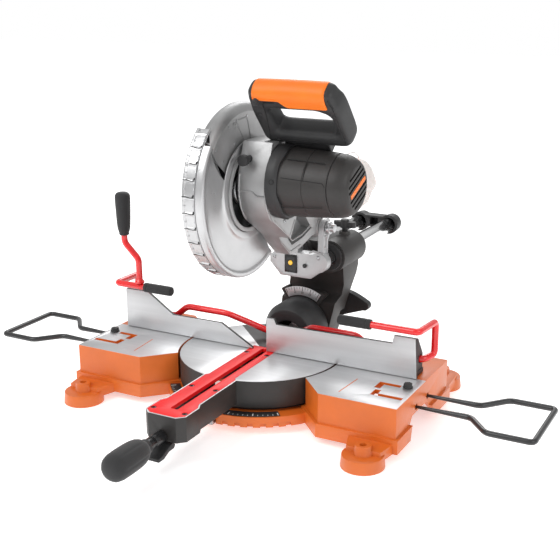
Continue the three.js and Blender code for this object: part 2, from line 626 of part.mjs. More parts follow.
function rearCap() {
  const [y0, y1] = [RAIL_Y[1] - 14, RAIL_Y[1] + 6];
  const lobes = RAIL_X.map((x) => rod('y', [x, RAIL_Z], 15.5, y0, y1, 14.5));
  const bridge = box([RAIL_X[0], y0, RAIL_Z - 6], [RAIL_X[1], y1 - 2, RAIL_Z + 12]);
  const hollow = box([RAIL_X[0] + 18, y0 - 1, RAIL_Z - 3], [RAIL_X[1] - 18, y1 - 5, RAIL_Z + 9]);
  const bores = RAIL_X.map((x) => rod('y', [x, RAIL_Z], RAIL_R + GAP, y0 - 1, RAIL_Y[1] + GAP));
  return cut(join(...lobes, bridge), hollow, ...bores);
}

function carriageGroup(parent) {
  part(parent, 'carriage_bracket', carriageBracket(), CAST);
  RAIL_X.forEach((x, i) => {
    const rail = cut(rod('y', [x, RAIL_Z], RAIL_R, ...RAIL_Y),
      rod('y', [x, RAIL_Z], RAIL_R - 2.5, 0, 400));
    part(parent, `${['left', 'right'][i]}_slide_rail`, rail, CHROME);
  });
  part(parent, 'rail_end_cap', rearCap(), BLACK);
  const shaft = join(rod('x', PIVOT, 6, 1, 62), rod('x', PIVOT, 9, 50.35, 56));
  part(parent, 'head_pivot_shaft', shaft, STEEL);
  const laser = box([LASER.x[0], LASER.y - 1, LASER.z[0]], [LASER.x[1], LASER.y + 7.6, LASER.z[1]]);
  const lensBore = rod('y', [2, 170], 3.8, 70, LASER.y + 2);
  part(parent, 'laser_housing', cut(laser, lensBore), BLACK);
  part(parent, 'laser_lens', rod('y', [2, 170], 3.4, LASER.y - 1.5, LASER.y + 1.6), LENS);
}

// ---------- saw head ----------
const RACE_R = 52.6; // ring on the upper guard that carries the lower guard
const RACE_IN = 47;
const RACE_END = 17.65;
const SPINDLE_BOSS_R = 20;
const UPPER_X = [-11, 11];
const LOWER_X = [-14.5, 15.2];
const SHEET = 2;
const GUARD_STEPS = 22;

// Angles of the guards are measured upwards from the forward direction; side plates use them from +Y.
const guardAngles = ([from, to]) => [180 - to, 180 - from];

function guardRim(radius, xs, arc) {
  return sidePlate(sector(ARBOR, radius - SHEET, radius, ...guardAngles(arc)), ...xs, GUARD_STEPS);
}

function upperGuard() {
  const angles = guardAngles(UPPER_GUARD_ARC);
  const wall = (x) => sidePlate(sector(ARBOR, 0, UPPER_GUARD_R, ...angles), x, x + SHEET, GUARD_STEPS);
  const left = wall(UPPER_X[0]);
  const right = wall(UPPER_X[1] - SHEET);
  const race = rod('x', ARBOR, RACE_R, UPPER_X[1] - SHEET, RACE_END);
  const raceHole = rod('x', ARBOR, RACE_IN, 0, 30);
  const boltHole = rod('x', ARBOR, 22, -30, 0);
  return cut(join(guardRim(UPPER_GUARD_R, UPPER_X, UPPER_GUARD_ARC), left, right, race),
    raceHole, boltHole, dustHole());
}

const dustHole = () => rod('y', [0, DUST_Z], 8.4, ARBOR[0] + 60, 80);

function lowerGuard() {
  const angles = guardAngles(LOWER_GUARD_ARC);
  const [x0, x1] = LOWER_X;
  const rim = guardRim(LOWER_GUARD_R, LOWER_X, LOWER_GUARD_ARC);
  const left = sidePlate(sector(ARBOR, 0, LOWER_GUARD_R, ...angles), x0, x0 + SHEET, GUARD_STEPS);
  const leftHub = rod('x', ARBOR, 30, x0, x0 + SHEET);
  const right = sidePlate(sector(ARBOR, 40, LOWER_GUARD_R, ...angles), x1 - SHEET, x1, GUARD_STEPS);
  const rightHub = rod('x', ARBOR, RACE_R + 8, x1 - SHEET, x1);
  const shoeHole = rod('x', ARBOR, RACE_R + GAP, 5, 30);
  const boltHole = rod('x', ARBOR, 19, -30, 0);
  return cut(join(rim, left, leftHub, right, rightHub), shoeHole, boltHole);
}

const GEAR_BAY = [24, 50]; // inside of the gear case along x

function gearCase() {
  const [x0, x1] = CASE_X;
  const outline = new THREE.Shape();
  outline.moveTo(-84, 326);
  outline.quadraticCurveTo(-92, 296, -70, 267);
  outline.lineTo(-24, 236);
  outline.lineTo(18, 300);
  outline.quadraticCurveTo(18, 352, -24, 364);
  outline.lineTo(-70, 364);
  const body = sidePlate(outline, x0, x1, 8);
  const bay = sidePlate(circle(MOTOR, 36), ...GEAR_BAY, 24);
  const bayLow = sidePlate(circle(ARBOR, 28), ...GEAR_BAY, 24);
  const mouth = rod('x', MOTOR, 36, GEAR_BAY[0] + 2, x1 + 5);
  const boss = rod('x', ARBOR, SPINDLE_BOSS_R, UPPER_X[1] + GAP, x0 + 1);
  const web = sidePlate([[-50, 268], [-16, 226], [10, 204], [40, 207], [74, 216], [96, 213],
    [PIVOT[0] + 4, PIVOT[1] + 14], [60, 262], [10, 300]], 18, 40);
  const lighten = sidePlate([[-6, 236], [14, 216], [44, 219], [72, 227], [50, 250], [16, 278]], 24, 60);
  const barrel = rod('x', PIVOT, 15, ...BARREL_X, 15, 28);
  const spindleBore = rod('x', ARBOR, 11.35, 0, 30);
  const shaftBore = rod('x', PIVOT, 6.35, 0, 60);
  const buttonBore = rod('y', LOCK_BUTTON.centre, 4.35, -120, -60);
  return cut(join(cut(join(body, boss), bay, bayLow, mouth), cut(web, lighten), barrel),
    spindleBore, shaftBore, buttonBore);
}

const LOCK_BUTTON = { centre: [30, 344], face: -78 }; // spindle lock: (x, z) and the face of the case in front

const motorTurn = (profile) => turned(MOTOR, profile, 32);

function motorHousing() {
  const [x0, x1] = MOTOR_X;
  const split = x1 - 22;
  const outer = [[x0, 46], [x0 + 10, 47], [x0 + 15, 42], [x0 + 45, 40.5], [split, 38.5]];
  const inner = [[split, 35.5], [x0 + 45, 37], [x0, 38]];
  return motorTurn([...outer, ...inner, outer[0]]);
}

function endCap() {
  const split = MOTOR_X[1] - 22 + GAP;
  const end = MOTOR_X[1] + 2;
  const outer = [[split, 38.5], [split + 12, 37], [end - 3, 31], [end, 26], [end, 0]];
  const inner = [[end - 4, 0], [end - 4, 24], [split + 10, 33], [split, 35.5]];
  const vents = [-18, -9, 9, 18].map((z) =>
    box([end - 5, MOTOR[0] - 20, MOTOR[1] + z - 2], [end + 1, MOTOR[0] + 20, MOTOR[1] + z + 2]));
  const sideVents = [-1, 1].map((side) =>
    box([split + 4, MOTOR[0] - 12, MOTOR[1] + side * 34 - 8],
      [split + 8, MOTOR[0] + 12, MOTOR[1] + side * 34 + 8]));
  const bearing = cut(rod('x', MOTOR, 12, end - 10, end - 3), rod('x', MOTOR, 4.4, end - 11, end - 5));
  return join(cut(motorTurn([...outer, ...inner, outer[0]]), ...vents, ...sideVents), bearing);
}

function driveParts(parent) {
  const stator = cut(rod('x', MOTOR, 34.5, 80, 118), rod('x', MOTOR, 22, 70, 130));
  part(parent, 'motor_stator', stator, STEEL);
}

function armature(parent) {
  const end = MOTOR_X[1] - 3.5;
  const rotor = join(
    rod('x', MOTOR, 4, 30, end), rod('x', MOTOR, 21, 80, 118), rod('x', MOTOR, 12, 122, 134),
    rod('x', MOTOR, 30, 64, 72), rod('x', MOTOR, 4.6, 34.5, 48));
  part(parent, 'motor_armature', rotor, COPPER);
}

function bladeTeeth() {
  const teeth = 24;
  const shape = new THREE.Shape();
  for (let i = 0; i < teeth; i += 1) {
    const start = (2 * Math.PI * i) / teeth;
    const step = (2 * Math.PI) / teeth;
    const at = (radius, share) => [
      ARBOR[0] + radius * Math.cos(start + share * step), ARBOR[1] + radius * Math.sin(start + share * step)];
    if (i === 0) shape.moveTo(...at(BLADE_R - 9, 0.12));
    else shape.lineTo(...at(BLADE_R - 9, 0.12));
    shape.lineTo(...at(BLADE_R - 3, 0.6));
    shape.lineTo(...at(BLADE_R, 0.98));
    shape.lineTo(...at(BLADE_R - 9, 1.02));
  }
  return shape;
}

function bladeGroup(parent) {
  const blade = cut(sidePlate(bladeTeeth(), -KERF / 2, KERF / 2), rod('x', ARBOR, BORE_R + GAP, -5, 5));
  part(parent, 'saw_blade', blade, STEEL);
  const spindle = join(
    rod('x', ARBOR, 11, KERF / 2 + 3, 34), rod('x', ARBOR, BORE_R, -5, KERF / 2 + 4),
    rod('x', ARBOR, 10.6, 34, 42));
  part(parent, 'arbor_and_gear', spindle, STEEL);
  const ring = (x0, x1) => cut(rod('x', ARBOR, 20, x0, x1, 18), rod('x', ARBOR, BORE_R + GAP, -9, 9));
  part(parent, 'inner_flange', ring(KERF / 2 + GAP, KERF / 2 + 4), STEEL);
  part(parent, 'outer_flange', ring(-5, -KERF / 2 - GAP), STEEL);
  const bolt = join(rod('x', ARBOR, 15, -9, -5.3), rod('x', ARBOR, 8, -13, -9));
  part(parent, 'arbor_bolt', bolt, STEEL);
}

// Closed handle: drawn upright in its own plane, then leaned forwards about its base (y, z).
const HANDLE_BASE = [-44.5, 374];
const HANDLE_LEAN = 41; // degrees
const HANDLE_X = [38, 156];
const NECK_X = [60, 125]; // block that carries the loop on the motor
const HANDLE_TOP = 84;
const HANDLE_HALF = 15; // half thickness
const GRIP_X = [44, 144];
const TRIGGER_X = [70, 120];
const BUTTON = [54, 70]; // lock-off button (x, height)

const leaned = (manifold) => manifold.rotate([HANDLE_LEAN, 0, 0]).translate([0, ...HANDLE_BASE]);

function handleLoop() {
  const [x0, x1] = HANDLE_X;
  const half = HANDLE_HALF;
  const loop = frontPlate(roundedRect(x0, -6, x1, HANDLE_TOP, 20), -half, half, 6);
  const opening = frontPlate(roundedRect(63, 16, 140, 52, 12), -half - 1, half + 1, 5);
  const roundTop = join(
    rod('x', [0, HANDLE_TOP - half], half, x0 - 1, x1 + 1),
    box([x0 - 1, -half, -7], [x1 + 1, half, HANDLE_TOP - half]));
  const neck = box([NECK_X[0], -12, -26], [NECK_X[1], 12, 0]);
  return join(cut(loop.intersect(roundTop), opening), neck);
}

// Upper shell of the grip, grown by a clearance when it is the room for it.
function gripShell(grow) {
  const [x0, x1] = GRIP_X;
  const radius = HANDLE_HALF + 1.5 + grow;
  return join(
    rod('x', [0, HANDLE_TOP - HANDLE_HALF], radius, x0 - grow, x1 + grow),
    box([x0 - grow, -radius, 61 - grow], [x1 + grow, radius, HANDLE_TOP - HANDLE_HALF]),
  ).intersect(box([x0 - grow, -30, 61 - grow], [x1 + grow, 30, 100]));
}

function handle(parent) {
  const core = (grow) => box([GRIP_X[0] - 1, -9 - grow, 50], [GRIP_X[1] + 1, 9 + grow, 76 + grow]);
  const triggerRoom = box([TRIGGER_X[0] - GAP, -7, 48], [TRIGGER_X[1] + GAP, 7, 66]);
  const buttonRoom = rod('y', BUTTON, 4.4, -30, -5);
  const frame = join(cut(handleLoop(), gripShell(GAP)), core(0));
  const overCase = box([0, -100, 300], [CASE_X[1] + GAP, 60, 364 + GAP]);
  const overMotor = motorTurn([[40, 0], [40, 47.5], [MOTOR_X[0] + 10, 47.5], [MOTOR_X[0] + 15, 42.5],
    [MOTOR_X[0] + 45, 41], [MOTOR_X[1], 38.5], [MOTOR_X[1] + 20, 30], [MOTOR_X[1] + 20, 0]]);
  part(parent, 'handle_frame', cut(leaned(cut(frame, triggerRoom, buttonRoom)), overCase, overMotor), BLACK);
  part(parent, 'handle_grip', leaned(cut(gripShell(0), core(GAP), buttonRoom)), ORANGE);
  const lever = frontPlate(roundedRect(TRIGGER_X[0], 48, TRIGGER_X[1], 60.5, 4), -6.5, 6.5, 4);
  part(parent, 'trigger', leaned(lever), BLACK);
  part(parent, 'lock_off_button', leaned(rod('y', BUTTON, 4, -HANDLE_HALF - 5, -8)), RUBBER);
}

function spindleLock() {
  const { centre, face } = LOCK_BUTTON;
  const collar = rod('y', centre, 7, face - 17, face - 9.5);
  const pin = rod('y', centre, 4, face - 10, face + 8);
  return join(collar, pin);
}

// Short elbow from the rear of the upper guard to the mouth of the dust bag.
const PORT = [[0, 55.3, DUST_Z], [0, 64, DUST_Z], [30, 71, 297], [62, 72, 292]];
const BAG = { x: 77, z: 288, y: [65, 152], radii: [37, 38] };

function dustPort() {
  const corners = PORT.map((corner) => [...corner]);
  const route = bentRoute(corners, 7);
  const bore = bentRoute([[0, 50, DUST_Z], ...corners.slice(1, 3), [66, 72.3, 291]], 7);
  return cut(swept(circle([0, 0], 8), route), swept(circle([0, 0], 6.4), bore));
}

function dustBag() {
  const [y0, y1] = BAG.y;
  const profile = [
    [y0, 0], [y0, 0.62], [y0 + 8, 0.9], [y0 + 24, 1], [y1 - 20, 1], [y1 - 6, 0.84], [y1, 0.5], [y1, 0],
  ];
  const points = profile.map(([y, share]) => new THREE.Vector2(share, y));
  const unit = new THREE.LatheGeometry(points, 36).scale(BAG.radii[0], 1, BAG.radii[1]);
  return cut(solid(unit.translate(BAG.x, 0, BAG.z)), swept(circle([0, 0], 8.4), bentRoute(PORT, 7)));
}

// ---------- assembly ----------
function mitreSaw() {
  const saw = new THREE.Group();
  base(saw);
  holdDown(saw);
  turntableGroup(saw);
  bevelGroup(saw);
  carriageGroup(saw);
  part(saw, 'upper_guard', upperGuard(), CAST);
  part(saw, 'lower_guard', lowerGuard(), GUARD);
  part(saw, 'gear_case', gearCase(), CAST);
  part(saw, 'motor_housing', motorHousing(), CHARCOAL);
  part(saw, 'motor_end_cap', endCap(), BLACK);
  driveParts(saw);
  armature(saw);
  bladeGroup(saw);
  handle(saw);
  part(saw, 'spindle_lock_button', spindleLock(), BLACK);
  part(saw, 'dust_port', dustPort(), BLACK);
  part(saw, 'dust_bag', dustBag(), BAG_CLOTH);
  saw.children.forEach((mesh) => mesh.geometry.translate(-ORIGIN.x, -ORIGIN.y, -ORIGIN.z));
  return saw;
}

export default mitreSaw();
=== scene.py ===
import json
import math

import bmesh
import bpy
import numpy as np
from mathutils import Matrix, Vector, noise

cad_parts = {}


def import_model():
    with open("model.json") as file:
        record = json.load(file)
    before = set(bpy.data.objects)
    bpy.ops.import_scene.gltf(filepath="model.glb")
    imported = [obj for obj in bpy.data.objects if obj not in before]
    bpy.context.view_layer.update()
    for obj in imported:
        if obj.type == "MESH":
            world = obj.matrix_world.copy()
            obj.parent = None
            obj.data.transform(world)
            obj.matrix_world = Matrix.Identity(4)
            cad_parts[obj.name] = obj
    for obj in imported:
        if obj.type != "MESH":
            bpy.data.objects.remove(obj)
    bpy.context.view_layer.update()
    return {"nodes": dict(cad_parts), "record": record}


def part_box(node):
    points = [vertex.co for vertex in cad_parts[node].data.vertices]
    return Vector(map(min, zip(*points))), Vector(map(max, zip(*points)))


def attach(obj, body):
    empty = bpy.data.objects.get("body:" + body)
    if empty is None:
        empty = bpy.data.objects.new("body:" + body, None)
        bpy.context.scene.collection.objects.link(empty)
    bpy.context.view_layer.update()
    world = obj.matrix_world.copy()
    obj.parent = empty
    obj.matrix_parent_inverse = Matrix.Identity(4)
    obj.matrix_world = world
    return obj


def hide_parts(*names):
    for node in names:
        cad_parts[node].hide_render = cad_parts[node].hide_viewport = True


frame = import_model()
NODES = frame["nodes"]
BODY_OF = {n: body for body, names in frame["record"]["behaviour"]["bodies"].items() for n in names}
MM = 0.001

# Everything is laid out in millimetres round the turntable pivot at floor level.
_low, _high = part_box("turntable_pivot_bolt")
PIVOT = (_low + _high) / 2


def at(x, y, z):
    """A point given in millimetres from the turntable pivot at floor level, in the row frame."""
    return Vector((PIVOT.x + x * MM, PIVOT.y + y * MM, z * MM))


# ---------------------------------------------------------------- meshes

def obj(name, bm, body, mat, node=None, sharp=35):
    """A new piece that rides on a body and, where a node is named, stands for it."""
    bmesh.ops.recalc_face_normals(bm, faces=bm.faces)
    mesh = bpy.data.meshes.new(name)
    bm.to_mesh(mesh)
    bm.free()
    piece = bpy.data.objects.new(name, mesh)
    bpy.context.scene.collection.objects.link(piece)
    mesh.materials.append(mat)
    mesh.shade_smooth()
    mesh.set_sharp_from_angle(angle=math.radians(sharp))
    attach(piece, body)
    if node:
        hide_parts(node)
    return piece


def slotted(piece):
    """The piece, returned as it is."""
    return piece


def trim(name, bm, body, mat):
    """A new piece of detail that rides on a body, with the material given."""
    return slotted(obj(name, bm, body, mat))


def modified(piece, *steps):
    """The piece with its modifiers, and the ones given as (type, settings), applied."""
    for kind, settings in steps:
        m = piece.modifiers.new(kind, kind)
        for key, value in settings.items():
            setattr(m, key, value)
    bpy.context.view_layer.update()
    dg = bpy.context.evaluated_depsgraph_get()
    final = piece.evaluated_get(dg)
    mesh = bpy.data.meshes.new_from_object(final, preserve_all_data_layers=True, depsgraph=dg)
    piece.modifiers.clear()
    piece.data = mesh
    return piece


def soften(node, mat, width=0.8, segments=2, angle=38, sharp=42):
    """A copy of a CAD node with rounded edges, which stands for that node."""
    bm = bmesh.new()
    bm.from_mesh(NODES[node].data)
    bmesh.ops.remove_doubles(bm, verts=bm.verts, dist=2e-6)
    bmesh.ops.dissolve_limit(bm, angle_limit=math.radians(0.6), verts=bm.verts, edges=bm.edges,
                             use_dissolve_boundaries=False)
    piece = obj("body_" + node, bm, BODY_OF[node], mat, node, sharp)
    bevel = {"width": width * MM, "segments": segments, "limit_method": "ANGLE",
             "angle_limit": math.radians(angle), "use_clamp_overlap": True, "harden_normals": False,
             "miter_outer": "MITER_ARC"}
    modified(piece, ("BEVEL", bevel), ("TRIANGULATE", {"keep_custom_normals": False}))
    piece.data.shade_smooth()
    piece.data.set_sharp_from_angle(angle=math.radians(sharp))
    return piece


def skin(bm, rings, closed=False):
    """Joins loops of points into one surface, back to the first loop if closed and otherwise with end faces."""
    loops = [[bm.verts.new(p) for p in points] for points in rings]
    n = len(loops[0])
    for a, b in zip(loops, loops[1:] + (loops[:1] if closed else [])):
        for i in range(n):
            k = (i + 1) % n
            bm.faces.new((a[i], a[k], b[k], b[i]))
    if not closed:
        bm.faces.new(loops[0][::-1])
        bm.faces.new(loops[-1])


def frame_axes(direction):
    """A direction and two directions square to it and to each other."""
    d = Vector(direction).normalized()
    side = d.cross(Vector((0, 0, 1)) if abs(d.z) < 0.9 else Vector((0, 1, 0))).normalized()
    return d, side, d.cross(side).normalized()


def turn_of(steps):
    """Angles of one full turn."""
    return [2 * math.pi * i / steps for i in range(steps)]


def ring(centre, axes, along, radius, steps):
    """Points round an axis, from functions of the angle that give their place along it and radius in mm."""
    d, u, v = axes
    return [centre + d * along(a) * MM + (u * math.cos(a) + v * math.sin(a)) * radius(a) * MM
            for a in turn_of(steps)]


def turned(bm, centre, direction, profile, steps=48, shape=None):
    """Turned solid: profile of (along, radius) pairs in mm from a centre point, along a direction."""
    axes = frame_axes(direction)
    skin(bm, [ring(centre, axes, lambda a: along, lambda a: radius * (shape(a, along) if shape else 1), steps)
              for along, radius in profile])


def turned_piece(name, body, mat, node, *turning):
    """A turned solid as a piece of its own; turning is what turned() takes after its mesh."""
    bm = bmesh.new()
    turned(bm, *turning)
    return obj(name, bm, body, mat, node)


def rounded_corner(before, here, after, back, on, steps):
    """Points of a corner rounded by a curve from a length back on one side to a length on along the other."""
    a = here + (before - here).normalized() * back
    b = here + (after - here).normalized() * on
    return [a * (1 - t) ** 2 + here * 2 * t * (1 - t) + b * t * t
            for t in (i / steps for i in range(steps + 1))]


def route(corners, bend, steps=8):
    """Corner points with the inner corners rounded."""
    pts = [Vector(c) for c in corners]
    out = [pts[0]]
    for before, here, after in zip(pts, pts[1:], pts[2:]):
        back, on = (min(bend, (p - here).length * 0.48) for p in (before, after))
        out += rounded_corner(before, here, after, back, on, steps)
    return out + [pts[-1]]


def at_all(points):
    return [at(*p) for p in points]


def swept(bm, points, radius, sides=20):
    """Round bar of that radius in mm along points."""
    rings = []
    normal = None
    for i, p in enumerate(points):
        ahead = points[min(i + 1, len(points) - 1)] - points[max(i - 1, 0)]
        t = ahead.normalized()
        if normal is None:
            normal = t.orthogonal().normalized()
        normal = (normal - t * normal.dot(t)).normalized()
        other = t.cross(normal)
        r = (radius(i / (len(points) - 1)) if callable(radius) else radius) * MM
        rings.append([p + (normal * math.cos(a) + other * math.sin(a)) * r for a in turn_of(sides)])
    skin(bm, rings)


def rounded_end(radius, share):
    """Radius along a bar whose ends are rounded over that share of its length."""
    def at_share(t):
        edge = min(t, 1 - t) / share
        return radius * (1 if edge >= 1 else math.sqrt(max(0.02, 1 - (1 - edge) ** 2)))
    return at_share


def plate(bm, outline, depth):
    """Plate from a flat outline of points, given the vector of its thickness."""
    skin(bm, [[Vector(p) for p in outline], [Vector(p) + depth for p in outline]])


def rounded_poly(points, radius, steps=5):
    """Closed flat outline with rounded corners, (a, b) pairs."""
    pts = [Vector(p) for p in points]
    out = []
    for i, here in enumerate(pts):
        before, after = pts[i - 1], pts[(i + 1) % len(pts)]
        r = min(radius, (before - here).length * 0.45, (after - here).length * 0.45)
        out += rounded_corner(before, here, after, r, r, steps)
    return out


def slot_outline(half_length, half_width, radius):
    """Rectangle with rounded corners about the origin."""
    return rounded_poly([(-half_length, -half_width), (half_length, -half_width), (half_length, half_width),
                         (-half_length, half_width)], radius)


def socket_screw(bm, centre, direction, radius, height):
    """Button-head screw with a hexagonal socket."""
    head = [(0, radius * 0.98), (height * 0.35, radius), (height * 0.8, radius * 0.86),
            (height, radius * 0.62)]
    socket = [(height, radius * 0.52), (height * 0.35, radius * 0.5), (height * 0.3, radius * 0.02)]

    def hexagon(a):
        return 0.93 / math.cos((a % (math.pi / 3)) - math.pi / 6)

    axes = frame_axes(direction)
    rings = [ring(centre, axes, lambda a: along, lambda a: r, 24) for along, r in head]
    rings += [ring(centre, axes, lambda a: along, lambda a: r * hexagon(a), 24) for along, r in socket]
    skin(bm, rings)


def screws(name, body, mat, places, direction, radius, height):
    """Like screws in one piece of trim."""
    bm = bmesh.new()
    for place in places:
        socket_screw(bm, at(*place), direction, radius, height)
    trim(name, bm, body, mat)


def clamped(value):
    """A value held between 0 and 1."""
    return max(0, min(1, value))


# ---------------------------------------------------------------- materials

class Nodes:
    """Small helper that builds one procedural material."""

    def __init__(self, name):
        self.mat = bpy.data.materials.new(name)
        self.mat.use_nodes = True
        self.tree = self.mat.node_tree
        self.tree.nodes.clear()
        self.out = self.new("ShaderNodeOutputMaterial")
        self.coord = self.new("ShaderNodeTexCoord").outputs["Object"]

    def new(self, kind, **inputs):
        node = self.tree.nodes.new(kind)
        for key, value in inputs.items():
            if hasattr(node, key):
                setattr(node, key, value)
        return node

    def link(self, a, b):
        self.tree.links.new(a, b)

    def noise(self, scale, detail=3.0, stretch=(1, 1, 1), rough=0.55):
        mapping = self.new("ShaderNodeMapping")
        mapping.inputs["Scale"].default_value = [scale * s for s in stretch]
        self.link(self.coord, mapping.inputs["Vector"])
        tex = self.new("ShaderNodeTexNoise")
        tex.inputs["Scale"].default_value = 1.0
        tex.inputs["Detail"].default_value = detail
        tex.inputs["Roughness"].default_value = rough
        self.link(mapping.outputs["Vector"], tex.inputs["Vector"])
        return tex.outputs["Fac"]

    def remap(self, value, low, high, a=0.3, b=0.7):
        node = self.new("ShaderNodeMapRange")
        node.inputs["From Min"].default_value = a
        node.inputs["From Max"].default_value = b
        node.inputs["To Min"].default_value = low
        node.inputs["To Max"].default_value = high
        self.link(value, node.inputs["Value"])
        return node.outputs["Result"]

    def math(self, kind, a, b=None):
        node = self.new("ShaderNodeMath")
        node.operation = kind
        for i, value in enumerate((a, b)):
            if value is None:
                continue
            if isinstance(value, (int, float)):
                node.inputs[i].default_value = value
            else:
                self.link(value, node.inputs[i])
        return node.outputs[0]

    def mix(self, factor, a, b):
        node = self.new("ShaderNodeMix")
        node.data_type = "RGBA"
        if isinstance(factor, (int, float)):
            node.inputs[0].default_value = factor
        else:
            self.link(factor, node.inputs[0])
        for i, value in ((6, a), (7, b)):
            if isinstance(value, (tuple, list)):
                node.inputs[i].default_value = (*value, 1)
            else:
                self.link(value, node.inputs[i])
        return node.outputs[2]

    def xyz(self):
        node = self.new("ShaderNodeSeparateXYZ")
        self.link(self.coord, node.inputs[0])
        return node.outputs

    def bump(self, height, distance, strength=1.0, normal=None):
        node = self.new("ShaderNodeBump")
        node.inputs["Strength"].default_value = strength
        node.inputs["Distance"].default_value = distance
        self.link(height, node.inputs["Height"])
        if normal is not None:
            self.link(normal, node.inputs["Normal"])
        return node.outputs["Normal"]

    def shader(self, color, rough, metal=0.0, grain=(1500, 0.00004), mottle=(60, 0.12), stretch=(1, 1, 1),
               coat=0.0, coat_rough=0.1, wave=None, sheen=0.0, specular=0.5):
        """A principled shader: colour mottled by noise, roughness between two values, fine grain as bump.

        grain is (frequency, depth), mottle (frequency, how much darker), wave (frequency, depth).
        """
        bsdf = self.new("ShaderNodeBsdfPrincipled")
        dark = tuple(c * (1 - mottle[1]) for c in color)
        light = tuple(min(1, c * (1 + mottle[1] * 0.6)) for c in color)
        broad = self.noise(mottle[0], 4.0, stretch)
        self.link(self.mix(self.remap(broad, 0, 1), dark, light), bsdf.inputs["Base Color"])
        fine = self.noise(grain[0], 3.0, stretch)
        both = self.math("ADD", self.math("MULTIPLY", broad, 0.5), self.math("MULTIPLY", fine, 0.5))
        self.link(self.remap(both, rough[0], rough[1]), bsdf.inputs["Roughness"])
        normal = self.bump(fine, grain[1])
        if wave:
            normal = self.bump(self.noise(wave[0], 2.0), wave[1], 1.0, normal)
        self.link(normal, bsdf.inputs["Normal"])
        bsdf.inputs["Metallic"].default_value = metal
        bsdf.inputs["Specular IOR Level"].default_value = specular
        if coat:
            bsdf.inputs["Coat Weight"].default_value = coat
            bsdf.inputs["Coat Roughness"].default_value = coat_rough
        if sheen:
            bsdf.inputs["Sheen Weight"].default_value = sheen
        return bsdf

    def done(self, bsdf):
        self.link(bsdf.outputs[0], self.out.inputs["Surface"])
        return self.mat

    def switch(self, factor, first, second):
        node = self.new("ShaderNodeMixShader")
        self.link(factor, node.inputs[0])
        self.link(first.outputs[0], node.inputs[1])
        self.link(second.outputs[0], node.inputs[2])
        return node


def simple(name, *args, **kwargs):
    n = Nodes(name)
    return n.done(n.shader(*args, **kwargs))


ORANGE = (0.68, 0.138, 0.012)
SILVER = (0.64, 0.645, 0.655)
CHARCOAL = (0.027, 0.0245, 0.0235)
BLACK = (0.022, 0.022, 0.023)
FINISH = {
    "orange": dict(color=ORANGE, rough=(0.34, 0.5), grain=(900, 0.00005), mottle=(18, 0.10), coat=0.25,
                   coat_rough=0.25, wave=(55, 0.0004)),
    "machined": dict(color=SILVER, rough=(0.36, 0.5), metal=0.8, grain=(300, 0.00002), mottle=(25, 0.06),
                     stretch=(0.06, 5.0, 5.0)),
    "black": dict(color=BLACK, rough=(0.42, 0.62), grain=(1700, 0.00006), mottle=(40, 0.25)),
    "charcoal": dict(color=CHARCOAL, rough=(0.42, 0.6), grain=(1300, 0.00005), mottle=(30, 0.2)),
}
black = simple("black_moulding", **FINISH["black"])
black_gloss = simple("black_gloss", (0.016, 0.016, 0.017), (0.22, 0.38), grain=(1200, 0.00002),
                     mottle=(40, 0.2))
wire_black = simple("wire_black", (0.014, 0.014, 0.015), (0.28, 0.45), grain=(900, 0.00003),
                    mottle=(60, 0.25), coat=0.3)
rubber = simple("soft_rubber", (0.018, 0.018, 0.019), (0.62, 0.85), grain=(2200, 0.00008), mottle=(70, 0.25),
                sheen=0.15)
charcoal = simple("charcoal_paint", **FINISH["charcoal"])
orange = simple("orange_enamel", **FINISH["orange"])
orange_soft = simple("orange_overmould", (0.90, 0.185, 0.010), (0.38, 0.55), grain=(1800, 0.00006),
                     mottle=(35, 0.08), specular=0.4)
red = simple("red_enamel", (0.80, 0.006, 0.008), (0.16, 0.3), grain=(700, 0.00002), mottle=(45, 0.12),
             coat=0.6, coat_rough=0.08)
red_plate = simple("red_insert", (0.88, 0.012, 0.014), (0.36, 0.5), grain=(1500, 0.00005), mottle=(40, 0.08),
                   specular=0.3)
cast = simple("cast_alloy", (0.40, 0.40, 0.402), (0.38, 0.56), metal=0.7, grain=(750, 0.00003),
              mottle=(28, 0.16), wave=(120, 0.00025))
cast_light = simple("cast_alloy_light", (0.50, 0.502, 0.508), (0.34, 0.5), metal=0.75, grain=(650, 0.00005),
                    mottle=(24, 0.14), wave=(90, 0.0002))
polished = simple("polished_guard", (0.56, 0.562, 0.568), (0.26, 0.38), metal=0.85, grain=(500, 0.000004),
                  mottle=(30, 0.08), wave=(60, 0.0002))
machined = simple("brushed_aluminium", **FINISH["machined"])
chrome = simple("chrome_rail", (0.86, 0.865, 0.87), (0.05, 0.13), metal=1.0, grain=(400, 0.00001),
                mottle=(20, 0.05), stretch=(4, 0.3, 4))
steel = simple("turned_steel", (0.5, 0.505, 0.515), (0.24, 0.42), metal=0.95, grain=(900, 0.00003),
               mottle=(60, 0.14))
dark_steel = simple("blade_steel", (0.10, 0.10, 0.105), (0.3, 0.5), metal=0.8, grain=(900, 0.00003),
                    mottle=(35, 0.3))
copper = simple("copper_winding", (0.55, 0.2, 0.08), (0.3, 0.45), metal=0.9, grain=(1200, 0.0001),
                mottle=(80, 0.25))
ink = simple("scale_ink", (0.02, 0.02, 0.02), (0.5, 0.7), grain=(1500, 0.00002), mottle=(60, 0.2))
white_ink = simple("white_ink", (0.75, 0.75, 0.74), (0.5, 0.65), grain=(1500, 0.00002), mottle=(60, 0.06))
# Near black: the dark joints of the seam lines, and painted shade behind the motor vents and in the motor's
# screw recesses.
seam_and_shade_dark = simple("seam_dark_and_painted_shade", (0.006, 0.006, 0.006), (0.6, 0.8), grain=(900, 0.00003), mottle=(60, 0.3))


def two_tone(name, base, top, mask):
    n = Nodes(name)
    return n.done(n.switch(mask(n), n.shader(**FINISH[base]), n.shader(**FINISH[top])))


